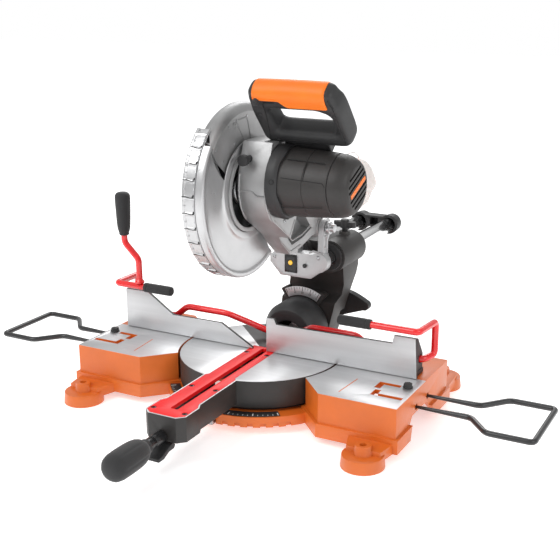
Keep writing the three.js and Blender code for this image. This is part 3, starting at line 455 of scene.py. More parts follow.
def face_mask(level, back, edge=0.00015):
    """Mask that is 1 on the machined top: above a level and in front of the fences, in metres."""
    def build(n):
        xyz = n.xyz()
        top = n.remap(xyz[2], 0, 1, level - edge, level + edge)
        return n.math("MULTIPLY", top, n.remap(xyz[1], 1, 0, back - edge, back + edge))
    return build


def turning_mask(level, back, edge=0.00015):
    """The same on the turntable, with what comes in front of the fences at 45 degrees to either side."""
    def build(n):
        xyz = n.xyz()
        top = n.remap(xyz[2], 0, 1, level - edge, level + edge)
        aside = n.math("ABSOLUTE", n.math("SUBTRACT", xyz[0], PIVOT.x))
        behind = n.math("SUBTRACT", n.math("SUBTRACT", xyz[1], PIVOT.y), aside)
        reach = (back - PIVOT.y) * math.sqrt(2)
        return n.math("MULTIPLY", top, n.remap(behind, 1, 0, reach - edge, reach + edge))
    return build


def front_mask(y, edge=0.0001):
    """Mask that is 1 on the front face of a fence."""
    def build(n):
        return n.remap(n.xyz()[1], 1, 0, y - edge, y + edge)
    return build


def lens_material():
    n = Nodes("amber_lens_painted_glow")
    b = n.shader((0.95, 0.55, 0.03), (0.05, 0.12), grain=(600, 0.00002), mottle=(300, 0.2), coat=1.0)
    # Painted glow: the amber lens gives off light of its own, though no lamp is lit in it.
    b.inputs["Emission Color"].default_value = (1.0, 0.5, 0.02, 1)
    b.inputs["Emission Strength"].default_value = 0.25
    return n.done(b)


def bag_material():
    """Thin pale cloth that lets light through, with a fine plain weave."""
    n = Nodes("bag_cloth")
    b = n.shader((0.80, 0.735, 0.70), (0.45, 0.62), grain=(900, 0.00008), mottle=(38, 0.10), sheen=0.3)
    x, y, z = n.xyz()
    threads = n.math("MULTIPLY", n.math("SINE", n.math("MULTIPLY", y, 5200)),
                     n.math("SINE", n.math("MULTIPLY", n.math("ADD", x, z), 3700)))
    weave = n.bump(threads, 0.00005, 0.6)
    n.link(n.bump(n.noise(900, 3.0), 0.00006, 1.0, weave), b.inputs["Normal"])
    b.inputs["Alpha"].default_value = 0.78
    b.inputs["Subsurface Weight"].default_value = 0.15
    b.inputs["Subsurface Radius"].default_value = (0.01, 0.006, 0.005)
    return n.done(b)


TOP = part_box("turntable")[1].z
FENCE_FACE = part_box("right_fence")[0].y
machined_area = face_mask(TOP - 0.0002, FENCE_FACE + 0.0025)
base_paint = two_tone("orange_enamel_machined_top", "orange", "machined", machined_area)
turning_area = turning_mask(TOP - 0.0002, FENCE_FACE + 0.0025)
table_paint = two_tone("charcoal_machined_top", "charcoal", "machined", turning_area)
fence_paint = two_tone("black_machined_face", "black", "machined", front_mask(FENCE_FACE + 0.0004))
lens = lens_material()
bag_cloth = bag_material()

# ---------------------------------------------------------------- CAD nodes with rounded edges

# Finish, width of the rounding in mm and steps in it.
SOFT = {
    "base_casting": (base_paint, 1.3, 3), "turntable": (table_paint, 0.9, 2),
    "kerf_plate": (red_plate, 0.5, 2), "mitre_scale": (black, 0.3, 1),
    "right_fence": (fence_paint, 0.6, 2), "left_fence": (fence_paint, 0.6, 2),
    "right_fence_bracket": (black, 0.7, 2), "left_fence_bracket": (black, 0.7, 2),
    "turntable_pivot_bolt": (dark_steel, 0.5, 2), "right_bar_screw": (black, 0.7, 2),
    "left_bar_screw": (black, 0.7, 2), "bevel_trunnion": (black, 1.0, 3),
    "bevel_pivot_bolt": (steel, 0.6, 2), "detent_lever": (black, 0.9, 3), "detent_pin": (steel, 0.3, 1),
    "bevel_arm": (charcoal, 1.6, 3), "bevel_scale": (machined, 0.2, 2),
    "bevel_lock_lever": (black, 1.6, 3), "left_rail_seal": (rubber, 0.5, 2),
    "right_rail_seal": (rubber, 0.5, 2), "left_rail_bushing": (steel, 0.4, 2),
    "right_rail_bushing": (steel, 0.4, 2), "slide_lock_knob": (black, 1.4, 3),
    "carriage_bracket": (cast_light, 1.1, 3), "rail_end_cap": (black, 1.5, 3),
    "head_pivot_shaft": (steel, 0.6, 2), "laser_housing": (black_gloss, 0.5, 2),
    "laser_lens": (lens, 0.4, 2), "gear_case": (cast, 1.8, 3), "motor_stator": (steel, 0.4, 1),
    "motor_armature": (copper, 0.3, 1), "saw_blade": (dark_steel, 0.2, 1),
    "arbor_and_gear": (steel, 0.3, 1), "inner_flange": (steel, 0.4, 2), "outer_flange": (steel, 0.4, 2),
    "arbor_bolt": (steel, 0.6, 2), "trigger": (black_gloss, 1.5, 3), "lock_off_button": (rubber, 0.8, 3),
    "spindle_lock_button": (black, 0.9, 3), "dust_port": (black, 0.5, 2),
}
for node, (mat, width, segments) in SOFT.items():
    soften(node, mat, width, segments)

# ---------------------------------------------------------------- bars, rods and sleeves
BAR_Y, BAR_Z, BAR_R = (-29.0, 10.5), 43.0, 3.75
BAR_FLARE, BAR_REACH = 33, 390.8
ROD_R, SWING_AXIS = 4.5, (22.0, 86.0)
CLAMP_Y, CLAMP_Z = -12.0, 134.0
LEVER_X, GRIP_X = -189, -212
SLEEVE_LENGTH = 46


def extension_bar(side, shift, node):
    """Wire loop that slides in a wing: two runs that flare to a wide end."""
    front, rear = BAR_Y
    runs = [(186, front), (306, front), (334, front - BAR_FLARE), (BAR_REACH, front - BAR_FLARE)]
    runs += [(BAR_REACH, rear + BAR_FLARE), (334, rear + BAR_FLARE), (306, rear), (186, rear)]
    bm = bmesh.new()
    line = route([at(side * x + shift, y, BAR_Z) for x, y in runs], 7 * MM)
    swept(bm, line, rounded_end(BAR_R - 0.03, 0.004), 18)
    obj("wire_" + node, bm, BODY_OF[node], wire_black, node)


extension_bar(1, 0, "right_extension_bar")
extension_bar(-1, -15, "left_extension_bar")


def hold_down_rod():
    y, z = SWING_AXIS
    half = [(20, 52, 76), (42, 40, 88), (66, y, 103), (132, y, 103), (152, y, z), (224, y, z)]
    half += [(232, 42, z + 2), (232, 42, CLAMP_Z - 2), (229, CLAMP_Y, CLAMP_Z)]
    left = [(-a, b, c) for a, b, c in half] + [(-142, CLAMP_Y, CLAMP_Z)]
    right = half + [(130, CLAMP_Y, CLAMP_Z)]
    bm = bmesh.new()
    swept(bm, route(at_all(left[::-1] + right), 7 * MM), ROD_R, 22)
    obj("rod_hold_down", bm, "hold_down", red, "hold_down_frame")


def hold_down_lever():
    """Cranked lever with a welded boss, and its ribbed grip."""
    foot = CLAMP_Z + ROD_R + 0.35
    crank = [(LEVER_X, foot), (LEVER_X, 174), (GRIP_X, 196), (GRIP_X, 262)]
    bm = bmesh.new()
    swept(bm, route([at(x, CLAMP_Y, z) for x, z in crank], 6 * MM), ROD_R, 22)
    boss = [(0, 6.2), (1.2, 6.8), (3, 6.8), (4.4, 5.6), (6, 4.6)]
    turned(bm, at(LEVER_X, CLAMP_Y, foot), (0, 0, 1), boss, 28)
    obj("rod_lever", bm, "hold_down", red, "hold_down_lever")
    grip = [(0, 4.7), (0, 6.2), (0.8, 6.9), (2, 7.1), (3, 6.9), (5, 7.6), (10, 8.9), (18, 9.6), (40, 10.5),
            (52, 10.9), (56, 10.6), (59, 9.0), (60.5, 6.6), (61, 4.0), (61, 0.1)]

    def ridge(a, s):
        return 1 - 0.018 * (abs(math.sin(9 * a)) ** 6 if 8 < s < 50 else 0)

    turned_piece("grip_lever", "hold_down", rubber, "hold_down_grip",
                 at(GRIP_X, CLAMP_Y, 207), (0, 0, 1), grip, 72, ridge)


def clamp_sleeve(node, start, direction):
    """Soft sleeve on an end of the rod, with a groove near its open end and a ribbed middle."""
    length = SLEEVE_LENGTH
    profile = [(0, 4.9), (0, 6.0), (0.5, 6.6), (3, 6.75), (5, 6.75), (5.5, 6.3), (6.6, 6.3), (7.1, 6.75),
               (length - 4, 6.75), (length - 1.6, 6.3), (length - 0.3, 4.8), (length, 0.1)]

    def ribs(a, s):
        return 1 - 0.02 * (abs(math.sin(8 * a)) ** 8 if 9 < s < length - 6 else 0)

    turned_piece("sleeve_" + node, "hold_down", rubber, node, at(start, CLAMP_Y, CLAMP_Z), (direction, 0, 0),
                 profile, 64, ribs)


hold_down_rod()
hold_down_lever()
clamp_sleeve("left_clamp_sleeve", -180, 1)
clamp_sleeve("right_clamp_sleeve", 166, -1)


def mitre_grip():
    """Turned soft grip of the mitre lock, with shallow lengthwise flutes, and its rod with a collar."""
    grip = [(0, 4.4), (0, 8.2), (0.8, 9.0), (4.5, 9.6), (6.2, 9.6), (7.6, 10.4), (9.0, 11.6), (12, 13.6),
            (16, 15.2), (22, 16.4), (30, 17.0), (44, 17.2), (58, 16.9), (64, 15.6), (68, 12.8), (70.4, 8.4),
            (71, 3.0), (71, 0.1)]

    def flute(a, s):
        depth = max(0, math.sin(math.pi * (s - 16) / 44) if 16 < s < 60 else 0)
        return 1 - 0.05 * max(0, math.cos(6 * a)) ** 6 * depth

    turned_piece("grip_mitre_lock", "mitre_lock", rubber, "mitre_lock_grip",
                 at(0, -269, 40), (0, -1, 0), grip, 96, flute)
    rod = [(0, 3.2), (0.8, 4.0), (42.5, 4.0), (43, 6.8), (44, 7.5), (60, 7.5), (61.5, 6.9), (63, 7.5),
           (72, 7.5), (72.6, 6.8)]
    turned_piece("rod_mitre_lock", "mitre_lock", black_gloss, "mitre_lock_rod",
                 at(0, -196, 40), (0, -1, 0), rod, 40)


mitre_grip()


def slide_rail(node, x):
    """Chromed tube with a chamfered open rim at either end."""
    tube = [(1.4, 8.6), (0, 9.0), (0, 10.2), (0.8, 11), (259, 11), (260, 10.4), (260, 8.6)]
    turned_piece("tube_" + node, "carriage", chrome, node, at(x, 92, 174), (0, 1, 0), tube, 64)


slide_rail("left_slide_rail", -6)
slide_rail("right_slide_rail", 44)

# ---------------------------------------------------------------- guards
ARBOR = (-51.0, 300.0)


def polar(x, radius, degrees):
    """Point at a radius and an angle above the forward direction, in the plane x of the blade."""
    a = math.radians(degrees)
    return at(x, ARBOR[0] - radius * math.cos(a), ARBOR[1] + radius * math.sin(a))


def sector_shell(bm, profile, start, end, steps, warp=None):
    """Solid of a closed profile of (x, radius) swept round the arbor; start and end are functions of them."""
    rings = []
    for i in range(steps + 1):
        loop = []
        for x, r in profile:
            a0, a1 = start(x, r), end(x, r)
            a = a0 + (a1 - a0) * (i / steps)
            x, r = warp(x, r, a) if warp else (x, r)
            loop.append(polar(x, r, a))
        rings.append(loop)
    skin(bm, rings)


def ring_solid(bm, profile, steps=96):
    rings = [[polar(x, r, 360 * i / steps) for x, r in profile] for i in range(steps)]
    skin(bm, rings, closed=True)


LOWER_R = 111.2
GUARD_CELL = 10.2
GUARD_CELLS = 16


def lower_guard():
    """Retracting guard: windowed and ribbed band at the left, smooth ring, dished wall and race."""
    band_x = [-12.6 + i * 1.05 for i in range(17)]
    outer = [(-14.5, 32), (-14.5, 60), (-14.5, 90), (-14.5, LOWER_R - 4), (-14.1, LOWER_R - 1.6),
             (-13.4, LOWER_R - 0.5)] + [(x, LOWER_R) for x in band_x]
    outer += [(4.6, LOWER_R - 1.2), (5.2, LOWER_R - 1.2), (5.6, LOWER_R - 0.1), (8, LOWER_R), (12.6, LOWER_R),
              (14.2, LOWER_R - 0.6), (15.1, LOWER_R - 2.2), (15.2, LOWER_R - 5), (14.9, LOWER_R - 6.4),
              (14.1, LOWER_R - 7.6), (13.4, LOWER_R - 10), (13.0, 94), (12.8, 82), (12.9, 72), (13.3, 66),
              (13.9, 63.2), (14.8, 61.6)]
    inner = [(13.4, 61.0), (12.2, 63.0), (11.8, 68), (11.6, 82), (11.8, 96), (12.2, LOWER_R - 8),
             (12.6, LOWER_R - 2.4), (10, LOWER_R - 1.9), (-11.8, LOWER_R - 1.9), (-12.6, LOWER_R - 2.6),
             (-12.6, 90), (-12.6, 60), (-12.6, 32)]

    def windows(x, r, a):
        """Sinks the face between the ribs of the band, and the windows in it deeper."""
        phase = ((a + 200) % GUARD_CELL) / GUARD_CELL
        if r < LOWER_R - 0.3 or not -12.0 < x < 4.0 or phase < 0.1:
            return x, r
        window = -10.4 < x < 2.2 and 0.17 < phase < 0.93
        return x, r - (1.45 if window else 0.4)

    def end(x, r):
        if x < 5:
            return 49.6
        if r > LOWER_R - 7:
            return 37
        return 20 + max(0, (r - 62) / 42) * 14

    bm = bmesh.new()
    sector_shell(bm, outer + inner, lambda x, r: -120.6, end, 340, windows)
    ring_solid(bm, [(13.3, 53.3), (14.6, 53.1), (15.2, 53.7), (15.2, 59.6), (14.9, 61.4), (14.2, 62.4),
                    (13.4, 62.2)])
    ring_solid(bm, [(-14.5, 19.6), (-14.5, 33), (-12.6, 33), (-12.6, 19.6)])
    obj("shell_lower_guard", bm, "guard", polished, "lower_guard", 40)


def outward(degrees):
    """Direction away from the arbor at an angle, a millimetre long."""
    return polar(0, 1, degrees) - polar(0, 0, degrees)


def lower_guard_trim():
    """A rivet at either end of each window, and the dark seam with a tab beside it."""
    bm = bmesh.new()
    for i in range(GUARD_CELLS):
        a = -116 + GUARD_CELL * i
        for x in (-10.6, 2.6):
            rivet = [(0, 1.3), (0.55, 1.2), (0.8, 0.7), (0.85, 0.05)]
            turned(bm, polar(x, LOWER_R - 0.9, a + 3.2), outward(a), rivet, 10)
    trim("rivets_lower_guard", bm, "guard", steel)
    bm = bmesh.new()
    for i in range(GUARD_CELLS):
        a = -118 + GUARD_CELL * i + 0.3
        seam = [polar(-13.2 + 16.6 * k / 8, LOWER_R - 0.25, a + 0.25 * math.sin(k * 0.8)) for k in range(9)]
        swept(bm, seam, 0.6, 6)
        tab = [(0.6, 0.2), (3.6, 0.4), (3.6, 1.6), (2.4, 1.9)]
        plate(bm, [polar(x, LOWER_R - 0.3, a + da) for x, da in tab], outward(a) * 0.28)
    trim("seams_lower_guard", bm, "guard", seam_and_shade_dark)


lower_guard()
lower_guard_trim()
UPPER_R = 108.2


def upper_guard():
    """Fixed cast guard: rounded rim with a lip, flat right wall with rivets and a raised rib, race ring."""
    rim = [(-11, 24), (-11, 60), (-11, 92), (-10.7, 98), (-9.6, 102.2), (-7.4, 105.4), (-4, 107.4),
           (0, UPPER_R), (4, 107.6), (7.2, 105.8), (9.2, 103.2), (10.4, 100), (10.6, 98.4), (11.1, 97.6),
           (11.1, 95.2), (10.6, 94.4), (10.5, 80), (10.5, 60), (10.8, 50)]
    inside = [(9.2, 50), (9.0, 80), (8.8, 96), (6.4, 103.2), (3, 106), (-3, 106), (-6.6, 103.2), (-9.2, 96),
              (-9.2, 60), (-9.2, 24)]
    race = [(9.1, 47.2), (9.1, 53.6), (11, 53.6), (11.8, 52.6), (17.2, 52.6), (17.5, 52.2), (17.5, 47.6),
            (17.1, 47.2)]

    def start(x, r):
        if x < 8.4:
            return 28.4
        return 28.4 + max(0, (r - 55) / 50) * 8

    bm = bmesh.new()
    sector_shell(bm, rim + inside, start, lambda x, r: 185.6, 170)
    ring_solid(bm, race)
    obj("shell_upper_guard", bm, "head", cast, "upper_guard", 40)
    bm = bmesh.new()
    for a in (40, 52, 64, 76, 92, 108, 124, 140, 156, 172):
        turned(bm, polar(10.5, 91.0, a), (1, 0, 0), [(0, 1.6), (0.4, 1.5), (0.65, 0.9), (0.7, 0.05)], 14)
    for a, r in ((38, 70), (66, 66)):
        turned(bm, polar(10.4, r, a), (1, 0, 0), [(0, 2.3), (0.4, 2.2), (0.7, 1.5), (0.75, 0.05)], 16)
    trim("rivets_upper_guard", bm, "head", steel)
    bm = bmesh.new()
    rib = [polar(9.9, r, a) for r, a in ((90, 76), (90, 92), (58, 104), (56, 90), (88, 76))]
    swept(bm, route(rib, 5 * MM), 1.3, 12)
    boss = [(0, 5.0), (0.9, 4.8), (1.3, 4.2), (1.3, 2.9), (0.6, 2.7), (0.5, 0.05)]
    turned(bm, polar(9.9, 86, 72), (1, 0, 0), boss, 32)
    trim("rib_upper_guard", bm, "head", cast)


upper_guard()

# ---------------------------------------------------------------- motor
MOTOR = (-47.0, 315.0)
MOTOR_X = (58.4, 158.0)
MOTOR_START = at(MOTOR_X[0], *MOTOR)
MOTOR_AXES = frame_axes((1, 0, 0))
MOTOR_LENGTH = MOTOR_X[1] + 2 - MOTOR_X[0]
CAP_START = MOTOR_LENGTH - 24
SHELL = [(9, 41), (9, 43.2), (10.5, 44.4), (12.5, 44.2), (15, 43), (17.5, 42.4), (30, 42.0), (45, 41.2),
         (46, 41.1), (46.3, 40.5), (47.2, 40.5), (47.5, 41.0), (62, 40.0), (CAP_START - 1.2, 39.0),
         (CAP_START - 0.3, 38.2), (CAP_START - 0.3, 36), (40, 37.4), (9, 38)]


def four_sided(a):
    """How far the housing departs from round: a little flatter between its four screws."""
    return 0.022 * (math.cos(4 * a + 0.5) - 1)


def motor_shell():
    def swell(a, r):
        return 1 + four_sided(a) if r > 38.1 else 0.985

    bm = bmesh.new()
    rings = [ring(MOTOR_START, MOTOR_AXES, lambda a: s, lambda a: r * swell(a, r), 240) for s, r in SHELL]
    skin(bm, rings, closed=True)
    obj("shell_motor", bm, "head", charcoal, "motor_housing", 30)


def motor_flange():
    flange = [(0, 39.2), (0, 45.6), (0.6, 46.4), (8, 47), (11, 46.8), (13.4, 45.9), (15.6, 44.7),
              (15.8, 43.2), (15.0, 40.4), (12, 39.2)]

    def reach(a, s):
        """Edge of the flange: long lobes round the four screws and a deep apron underneath."""
        lobes = 2.2 * max(0, math.cos(4 * a - 2.2)) ** 2
        apron = 7.5 * max(0, math.cos(a - 4.1)) ** 6
        return s + (lobes + apron) * max(0, (s - 8) / 7.8)

    bm = bmesh.new()
    rings = [ring(MOTOR_START, MOTOR_AXES, lambda a: reach(a, s), lambda a: r, 180) for s, r in flange]
    skin(bm, rings, closed=True)
    trim("flange_motor", bm, "head", black)


def motor_cap():
    """Vented end cap: slanted slots over a near-black disc of painted shade for the dark inside of the motor,
    with a plain strip across the middle.
    """
    end = at(MOTOR_X[1], *MOTOR)
    slant = Matrix.Translation(end) @ Matrix.Rotation(math.radians(24), 4, "X") @ Matrix.Translation(-end)
    cap = [(CAP_START + 0.2, 35.6), (CAP_START + 0.2, 38.1), (CAP_START + 1.0, 38.6), (CAP_START + 8, 37.9),
           (CAP_START + 13, 36.6), (MOTOR_LENGTH - 5, 33.2), (MOTOR_LENGTH - 2.2, 30.6),
           (MOTOR_LENGTH - 0.6, 27.8), (MOTOR_LENGTH, 25), (MOTOR_LENGTH, 0.1)]
    bm = bmesh.new()
    turned(bm, MOTOR_START, (1, 0, 0), cap, 160,
           lambda a, s: 1 + four_sided(a) * min(1, (MOTOR_LENGTH - s) / 8))
    piece = obj("cap_motor", bm, "head", charcoal, "motor_end_cap", 30)

    def slanted(bm, outline, x, height, depth):
        """Plate across the end of the motor, from an outline of (y, z) in mm raised by height."""
        flat = [end + Vector((x * MM, p[0] * MM, (p[1] + height) * MM)) for p in outline]
        plate(bm, [slant @ p for p in flat], Vector((depth * MM, 0, 0)))

    cutter = bmesh.new()
    for z in (-19, -12.5, -6, 6.5, 13, 19.5):
        half = math.sqrt(27 ** 2 - z * z) - 1.5
        slanted(cutter, slot_outline(half, 1.6, 1.5), -3, z, 14)
    carve(piece, cutter)
    # Painted shade: a near-black disc a little inside the cap stands for the shade seen through the slots.
    vent_shade_disc = [(0, 30.6), (3.6, 29.6), (3.8, 0.1)]
    slotted(turned_piece("vent_shade_disc_motor", "head", seam_and_shade_dark, None,
                         at(MOTOR_X[1] - 8, *MOTOR), (1, 0, 0), vent_shade_disc, 64))
    bm = bmesh.new()
    slanted(bm, slot_outline(22, 2.6, 1.5), 1.9, 0, 0.5)
    trim("strip_motor", bm, "head", orange_soft)


def motor_trim():
    """Recessed screws of the flange, coloured near black as painted shade in their recesses, and the seam lines
    of the shell.
    """
    bm = bmesh.new()
    # The near-black screws are painted shade in their recesses.
    for degrees in (8, 100, 188, 280):
        out = Vector((0, -math.cos(math.radians(degrees)), math.sin(math.radians(degrees))))
        turned(bm, at(MOTOR_X[0] + 10, *MOTOR) + out * 46.3 * MM, out,
               [(0, 3.2), (0.75, 3.1), (0.9, 2.5), (0.2, 2.1), (0.2, 0.05)], 24)
    trim("screws_motor", bm, "head", seam_and_shade_dark)

    def shell_radius(s):
        a, b = next((a, b) for a, b in zip(SHELL[4:], SHELL[5:]) if b[0] >= s)
        return a[1] + (b[1] - a[1]) * (s - a[0]) / max(1e-6, b[0] - a[0])

    seams = (((19, 16), (CAP_START - 5, 13), (CAP_START - 1, 6)), ((21, 50), (CAP_START - 3, 50)),
             ((19, -38), (CAP_START - 3, -34)), ((48, 14.5), (48, 50)))
    bm = bmesh.new()
    for path in seams:
        line = []
        for (s0, a0), (s1, a1) in zip(path, path[1:]):
            for t in (k / 12 for k in range(12)):
                s, a = s0 + (s1 - s0) * t, math.radians(a0 + (a1 - a0) * t)
                r = shell_radius(s) * 0.994
                line.append(at(MOTOR_X[0] + s, MOTOR[0] - r * math.cos(a), MOTOR[1] + r * math.sin(a)))
        swept(bm, line, 0.55, 6)
    trim("seams_motor", bm, "head", seam_and_shade_dark)


def carve(piece, cutter_bm):
    """Cuts closed shapes out of a piece."""
    bmesh.ops.recalc_face_normals(cutter_bm, faces=cutter_bm.faces)
    mesh = bpy.data.meshes.new("cutter")
    cutter_bm.to_mesh(mesh)
    cutter_bm.free()
    tool = bpy.data.objects.new("cutter", mesh)
    bpy.context.scene.collection.objects.link(tool)
    modified(piece, ("BOOLEAN", {"object": tool, "operation": "DIFFERENCE", "solver": "EXACT"}))
    bpy.data.objects.remove(tool)
    piece.data.shade_smooth()
    piece.data.set_sharp_from_angle(angle=math.radians(35))


motor_shell()
motor_flange()
motor_cap()
motor_trim()


def cast_ridge(bm, points, radius, bend=3):
    swept(bm, route(at_all(points), bend * MM), radius, 10)


def gear_case_details():
    """Raised cast outlines: along the front of the case, round the spindle lock and on its web."""
    bm = bmesh.new()
    front = [(-84.6, 326), (-87.0, 312), (-86.6, 298), (-82.4, 284), (-76, 273)]
    for x in (20, 56):
        cast_ridge(bm, [(x, y + 0.6, z) for y, z in front] + [(x, -69.6, 267)], 1.3)
    cast_ridge(bm, [(21, -78.6, 334), (21, -80.6, 329), (40, -80.6, 329), (42, -79.6, 336)], 1.2)
    cast_ridge(bm, [(20, -86.2, 306), (38, -86.2, 306), (44, -86.4, 300), (56, -86.4, 300)], 1.0)
    cast_ridge(bm, [(57.4, -66, 268), (57.4, -26, 239), (57.4, -12, 258)], 1.2)
    for path in (((-46, 266), (-18, 230), (9, 208), (38, 211)), ((-8, 240), (14, 222), (42, 224), (68, 231))):
        cast_ridge(bm, [(40.1, y, z) for y, z in path], 1.1)
    trim("ridges_gear_case", bm, "head", cast)
    places = [(57.6, y, z) for y, z in ((-62, 352), (8, 330), (2, 292), (-40, 262))]
    screws("screws_gear_case", "head", steel, places, (1, 0, 0), 2.6, 1.5)


def carriage_details():
    """Oval ring and web lines on the right cheek, the clamp lug of the rail and a second laser window."""
    bm = bmesh.new()
    oval = [at(50.3, 94 + 4.2 * math.cos(a), 203 + 8.5 * math.sin(a)) for a in turn_of(32) + [2 * math.pi]]
    swept(bm, oval, 1.2, 10)
    for web in (((88, 186), (88, 212), (96, 222)), ((101, 186), (101, 214))):
        swept(bm, [at(50.2, y, z) for y, z in web], 0.9, 10)
    swept(bm, [at(x, 85.2, z) for x, z in ((30, 187), (36, 190), (52, 188))], 1.3, 10)
    trim("ridges_carriage", bm, "carriage", cast_light)
    bm = bmesh.new()
    for x, z, r in ((2, 161.5, 2.9), (24, 168, 2.4)):
        window = [(-0.6, r + 0.6), (0.15, r + 0.6), (0.3, r), (-0.3, r - 0.4), (-0.3, 0.05)]
        turned(bm, at(x, 82.2, z), (0, -1, 0), window, 24)
    trim("windows_carriage", bm, "carriage", black_gloss)
    bm = bmesh.new()
    socket_screw(bm, at(44, 84.1, 181.5), (0, -1, 0), 3.0, 1.6)
    socket_screw(bm, at(-24, 84.1, 176), (0, -1, 0), 2.6, 1.5)
    trim("screws_carriage", bm, "carriage", steel)


gear_case_details()
carriage_details()

# ---------------------------------------------------------------- handle
LEAN = math.radians(41)
HANDLE_BASE = (-44.5, 374.0)


def leaned(x, depth, height):
    """Point of the handle drawn upright in its own plane, leaned forwards about its base."""
    return at(x, HANDLE_BASE[0] + depth * math.cos(LEAN) - height * math.sin(LEAN),
              HANDLE_BASE[1] + depth * math.sin(LEAN) + height * math.cos(LEAN))


def crossing(outline, centre, direction):
    """Where a line from the centre meets a closed outline farthest out."""
    best = 0
    for a, b in zip(outline, outline[1:] + outline[:1]):
        e, rel = b - a, a - centre
        det = direction.x * -e.y + direction.y * e.x
        if abs(det) < 1e-9:
            continue
        t = (rel.x * -e.y + rel.y * e.x) / det
        along_edge = (direction.x * rel.y - direction.y * rel.x) / det
        if t > 0 and -1e-6 <= along_edge <= 1 + 1e-6:
            best = max(best, t)
    return centre + direction * best


def signed_power(value, power):
    return math.copysign(abs(value) ** power, value)


def handle_loop():
    """Closed loop with a squarish section, thinner under its overmould, and the neck that it stands on."""
    outer = [(38.5, 0), (43, -6), (150, -6), (155.8, 2), (155.8, 56), (151, 80), (142, 83.4), (50, 83.4),
             (41, 81), (38.5, 68)]
    inner = [(64, 18), (69, 16), (136, 16), (141, 20), (141, 44), (135, 51), (67, 53), (61, 47)]
    outer, inner = rounded_poly(outer, 13, 8), rounded_poly(inner, 9, 8)
    centre, half_depth = Vector((101, 34)), 14.6
    rings = []
    for angle in turn_of(160):
        direction = Vector((math.cos(angle) * 1.55, math.sin(angle))).normalized()
        far, near = crossing(outer, centre, direction), crossing(inner, centre, direction)
        mid, reach = (far + near) / 2, (far - near) / 2
        top = clamped((mid.y - 44) / 12)
        sunk = 1 - 0.09 * top * clamped((mid.x - 46) / 5) * clamped((143.5 - mid.x) / 5)
        loop = []
        for b in turn_of(32):
            out = signed_power(math.cos(b), 0.62 - 0.06 * top)
            p = mid + reach * out * (sunk if out > 0 else 1)
            loop.append(leaned(p.x, half_depth * signed_power(math.sin(b), 0.62 - 0.06 * top) * sunk, p.y))
        rings.append(loop)
    bm = bmesh.new()
    skin(bm, rings, closed=True)
    middle = 92.5
    neck = slot_outline(30.5, 12, 4)
    skin(bm, [[leaned(middle + p[0] * grow, p[1] * grow, h) for p in neck]
              for h, grow in ((-2, 1.0), (-8, 0.97), (-22, 0.93))])
    obj("loop_handle", bm, "head", black, "handle_frame", 50)


OVERMOULD = (49.0, 92.5)
OVERMOULD_R, OVERMOULD_TOP = 13.9, 82.0


def overmould_column(i, cols, rows, offset):
    """Points across the overmould, from its front edge over the top to its rear edge."""
    x = OVERMOULD[0] + OVERMOULD[1] * i / cols
    crown = 1.1 * math.sin(math.pi * (x - OVERMOULD[0]) / OVERMOULD[1])
    edge = min(1, min(x - OVERMOULD[0], sum(OVERMOULD) - x) / 2.0)
    lift = offset * (0.3 + 0.7 * math.sqrt(edge)) if offset > 0 else offset
    top, r = OVERMOULD_TOP + lift + (crown if offset > 0 else crown * 0.6), OVERMOULD_R + lift
    t = clamped((x - 77) / 16)
    raised = t * t * (3 - 2 * t)
    front, rear = 73.5 - 13 * raised, 68 - 6 * raised
    column = []
    for t in (k / rows for k in range(rows + 1)):
        if t < 0.25:
            depth, height = -r, front + (70 - front) * (t / 0.25)
        elif t > 0.75:
            depth, height = r, 70 + (rear - 70) * ((t - 0.75) / 0.25)
        else:
            a = math.pi * (t - 0.25) / 0.5
            depth, height = -r * signed_power(math.cos(a), 0.9), 70 + (top - 70) * math.sin(a) ** 0.9
        column.append(leaned(x, depth, height))
    return column


def handle_overmould(cols=60, rows=26):
    """Soft orange shell over the upper limb: an outer and an inner sheet, joined along all four edges."""
    bm = bmesh.new()
    o, n = [[[bm.verts.new(p) for p in overmould_column(i, cols, rows, offset)] for i in range(cols + 1)]
            for offset in (1.2, -0.6)]
    for i in range(cols):
        for k in range(rows):
            bm.faces.new((o[i][k], o[i + 1][k], o[i + 1][k + 1], o[i][k + 1]))
            bm.faces.new((n[i][k], n[i][k + 1], n[i + 1][k + 1], n[i + 1][k]))
        bm.faces.new((o[i][0], n[i][0], n[i + 1][0], o[i + 1][0]))
        bm.faces.new((o[i][rows], o[i + 1][rows], n[i + 1][rows], n[i][rows]))
    for k in range(rows):
        bm.faces.new((o[0][k], o[0][k + 1], n[0][k + 1], n[0][k]))
        bm.faces.new((o[cols][k], n[cols][k], n[cols][k + 1], o[cols][k + 1]))
    obj("overmould_handle", bm, "head", orange_soft, "handle_grip", 50)


def handle_trim():
    """Seam lines and recessed screws on the front of the loop."""
    bm = bmesh.new()
    seams = (((50, 6), (58, 46), (60, 66), (76, 67)), ((149, 4), (149, 60), (146, 76)), ((66, 3), (132, 3)))
    for path in seams:
        swept(bm, route([leaned(x, -14.35, h) for x, h in path], 5 * MM), 0.5, 6)
    trim("seams_handle", bm, "head", seam_and_shade_dark)
    bm = bmesh.new()
    screw = [(0, 2.6), (0.5, 2.5), (0.7, 1.9), (0.1, 1.6), (0.1, 0.05)]
    for x, h in ((50, 46), (60, 4)):
        turned(bm, leaned(x, -14.3, h), leaned(0, -1, 0) - leaned(0, 0, 0), screw, 20)
    trim("screws_handle", bm, "head", black_gloss)


handle_loop()
handle_overmould()
handle_trim()

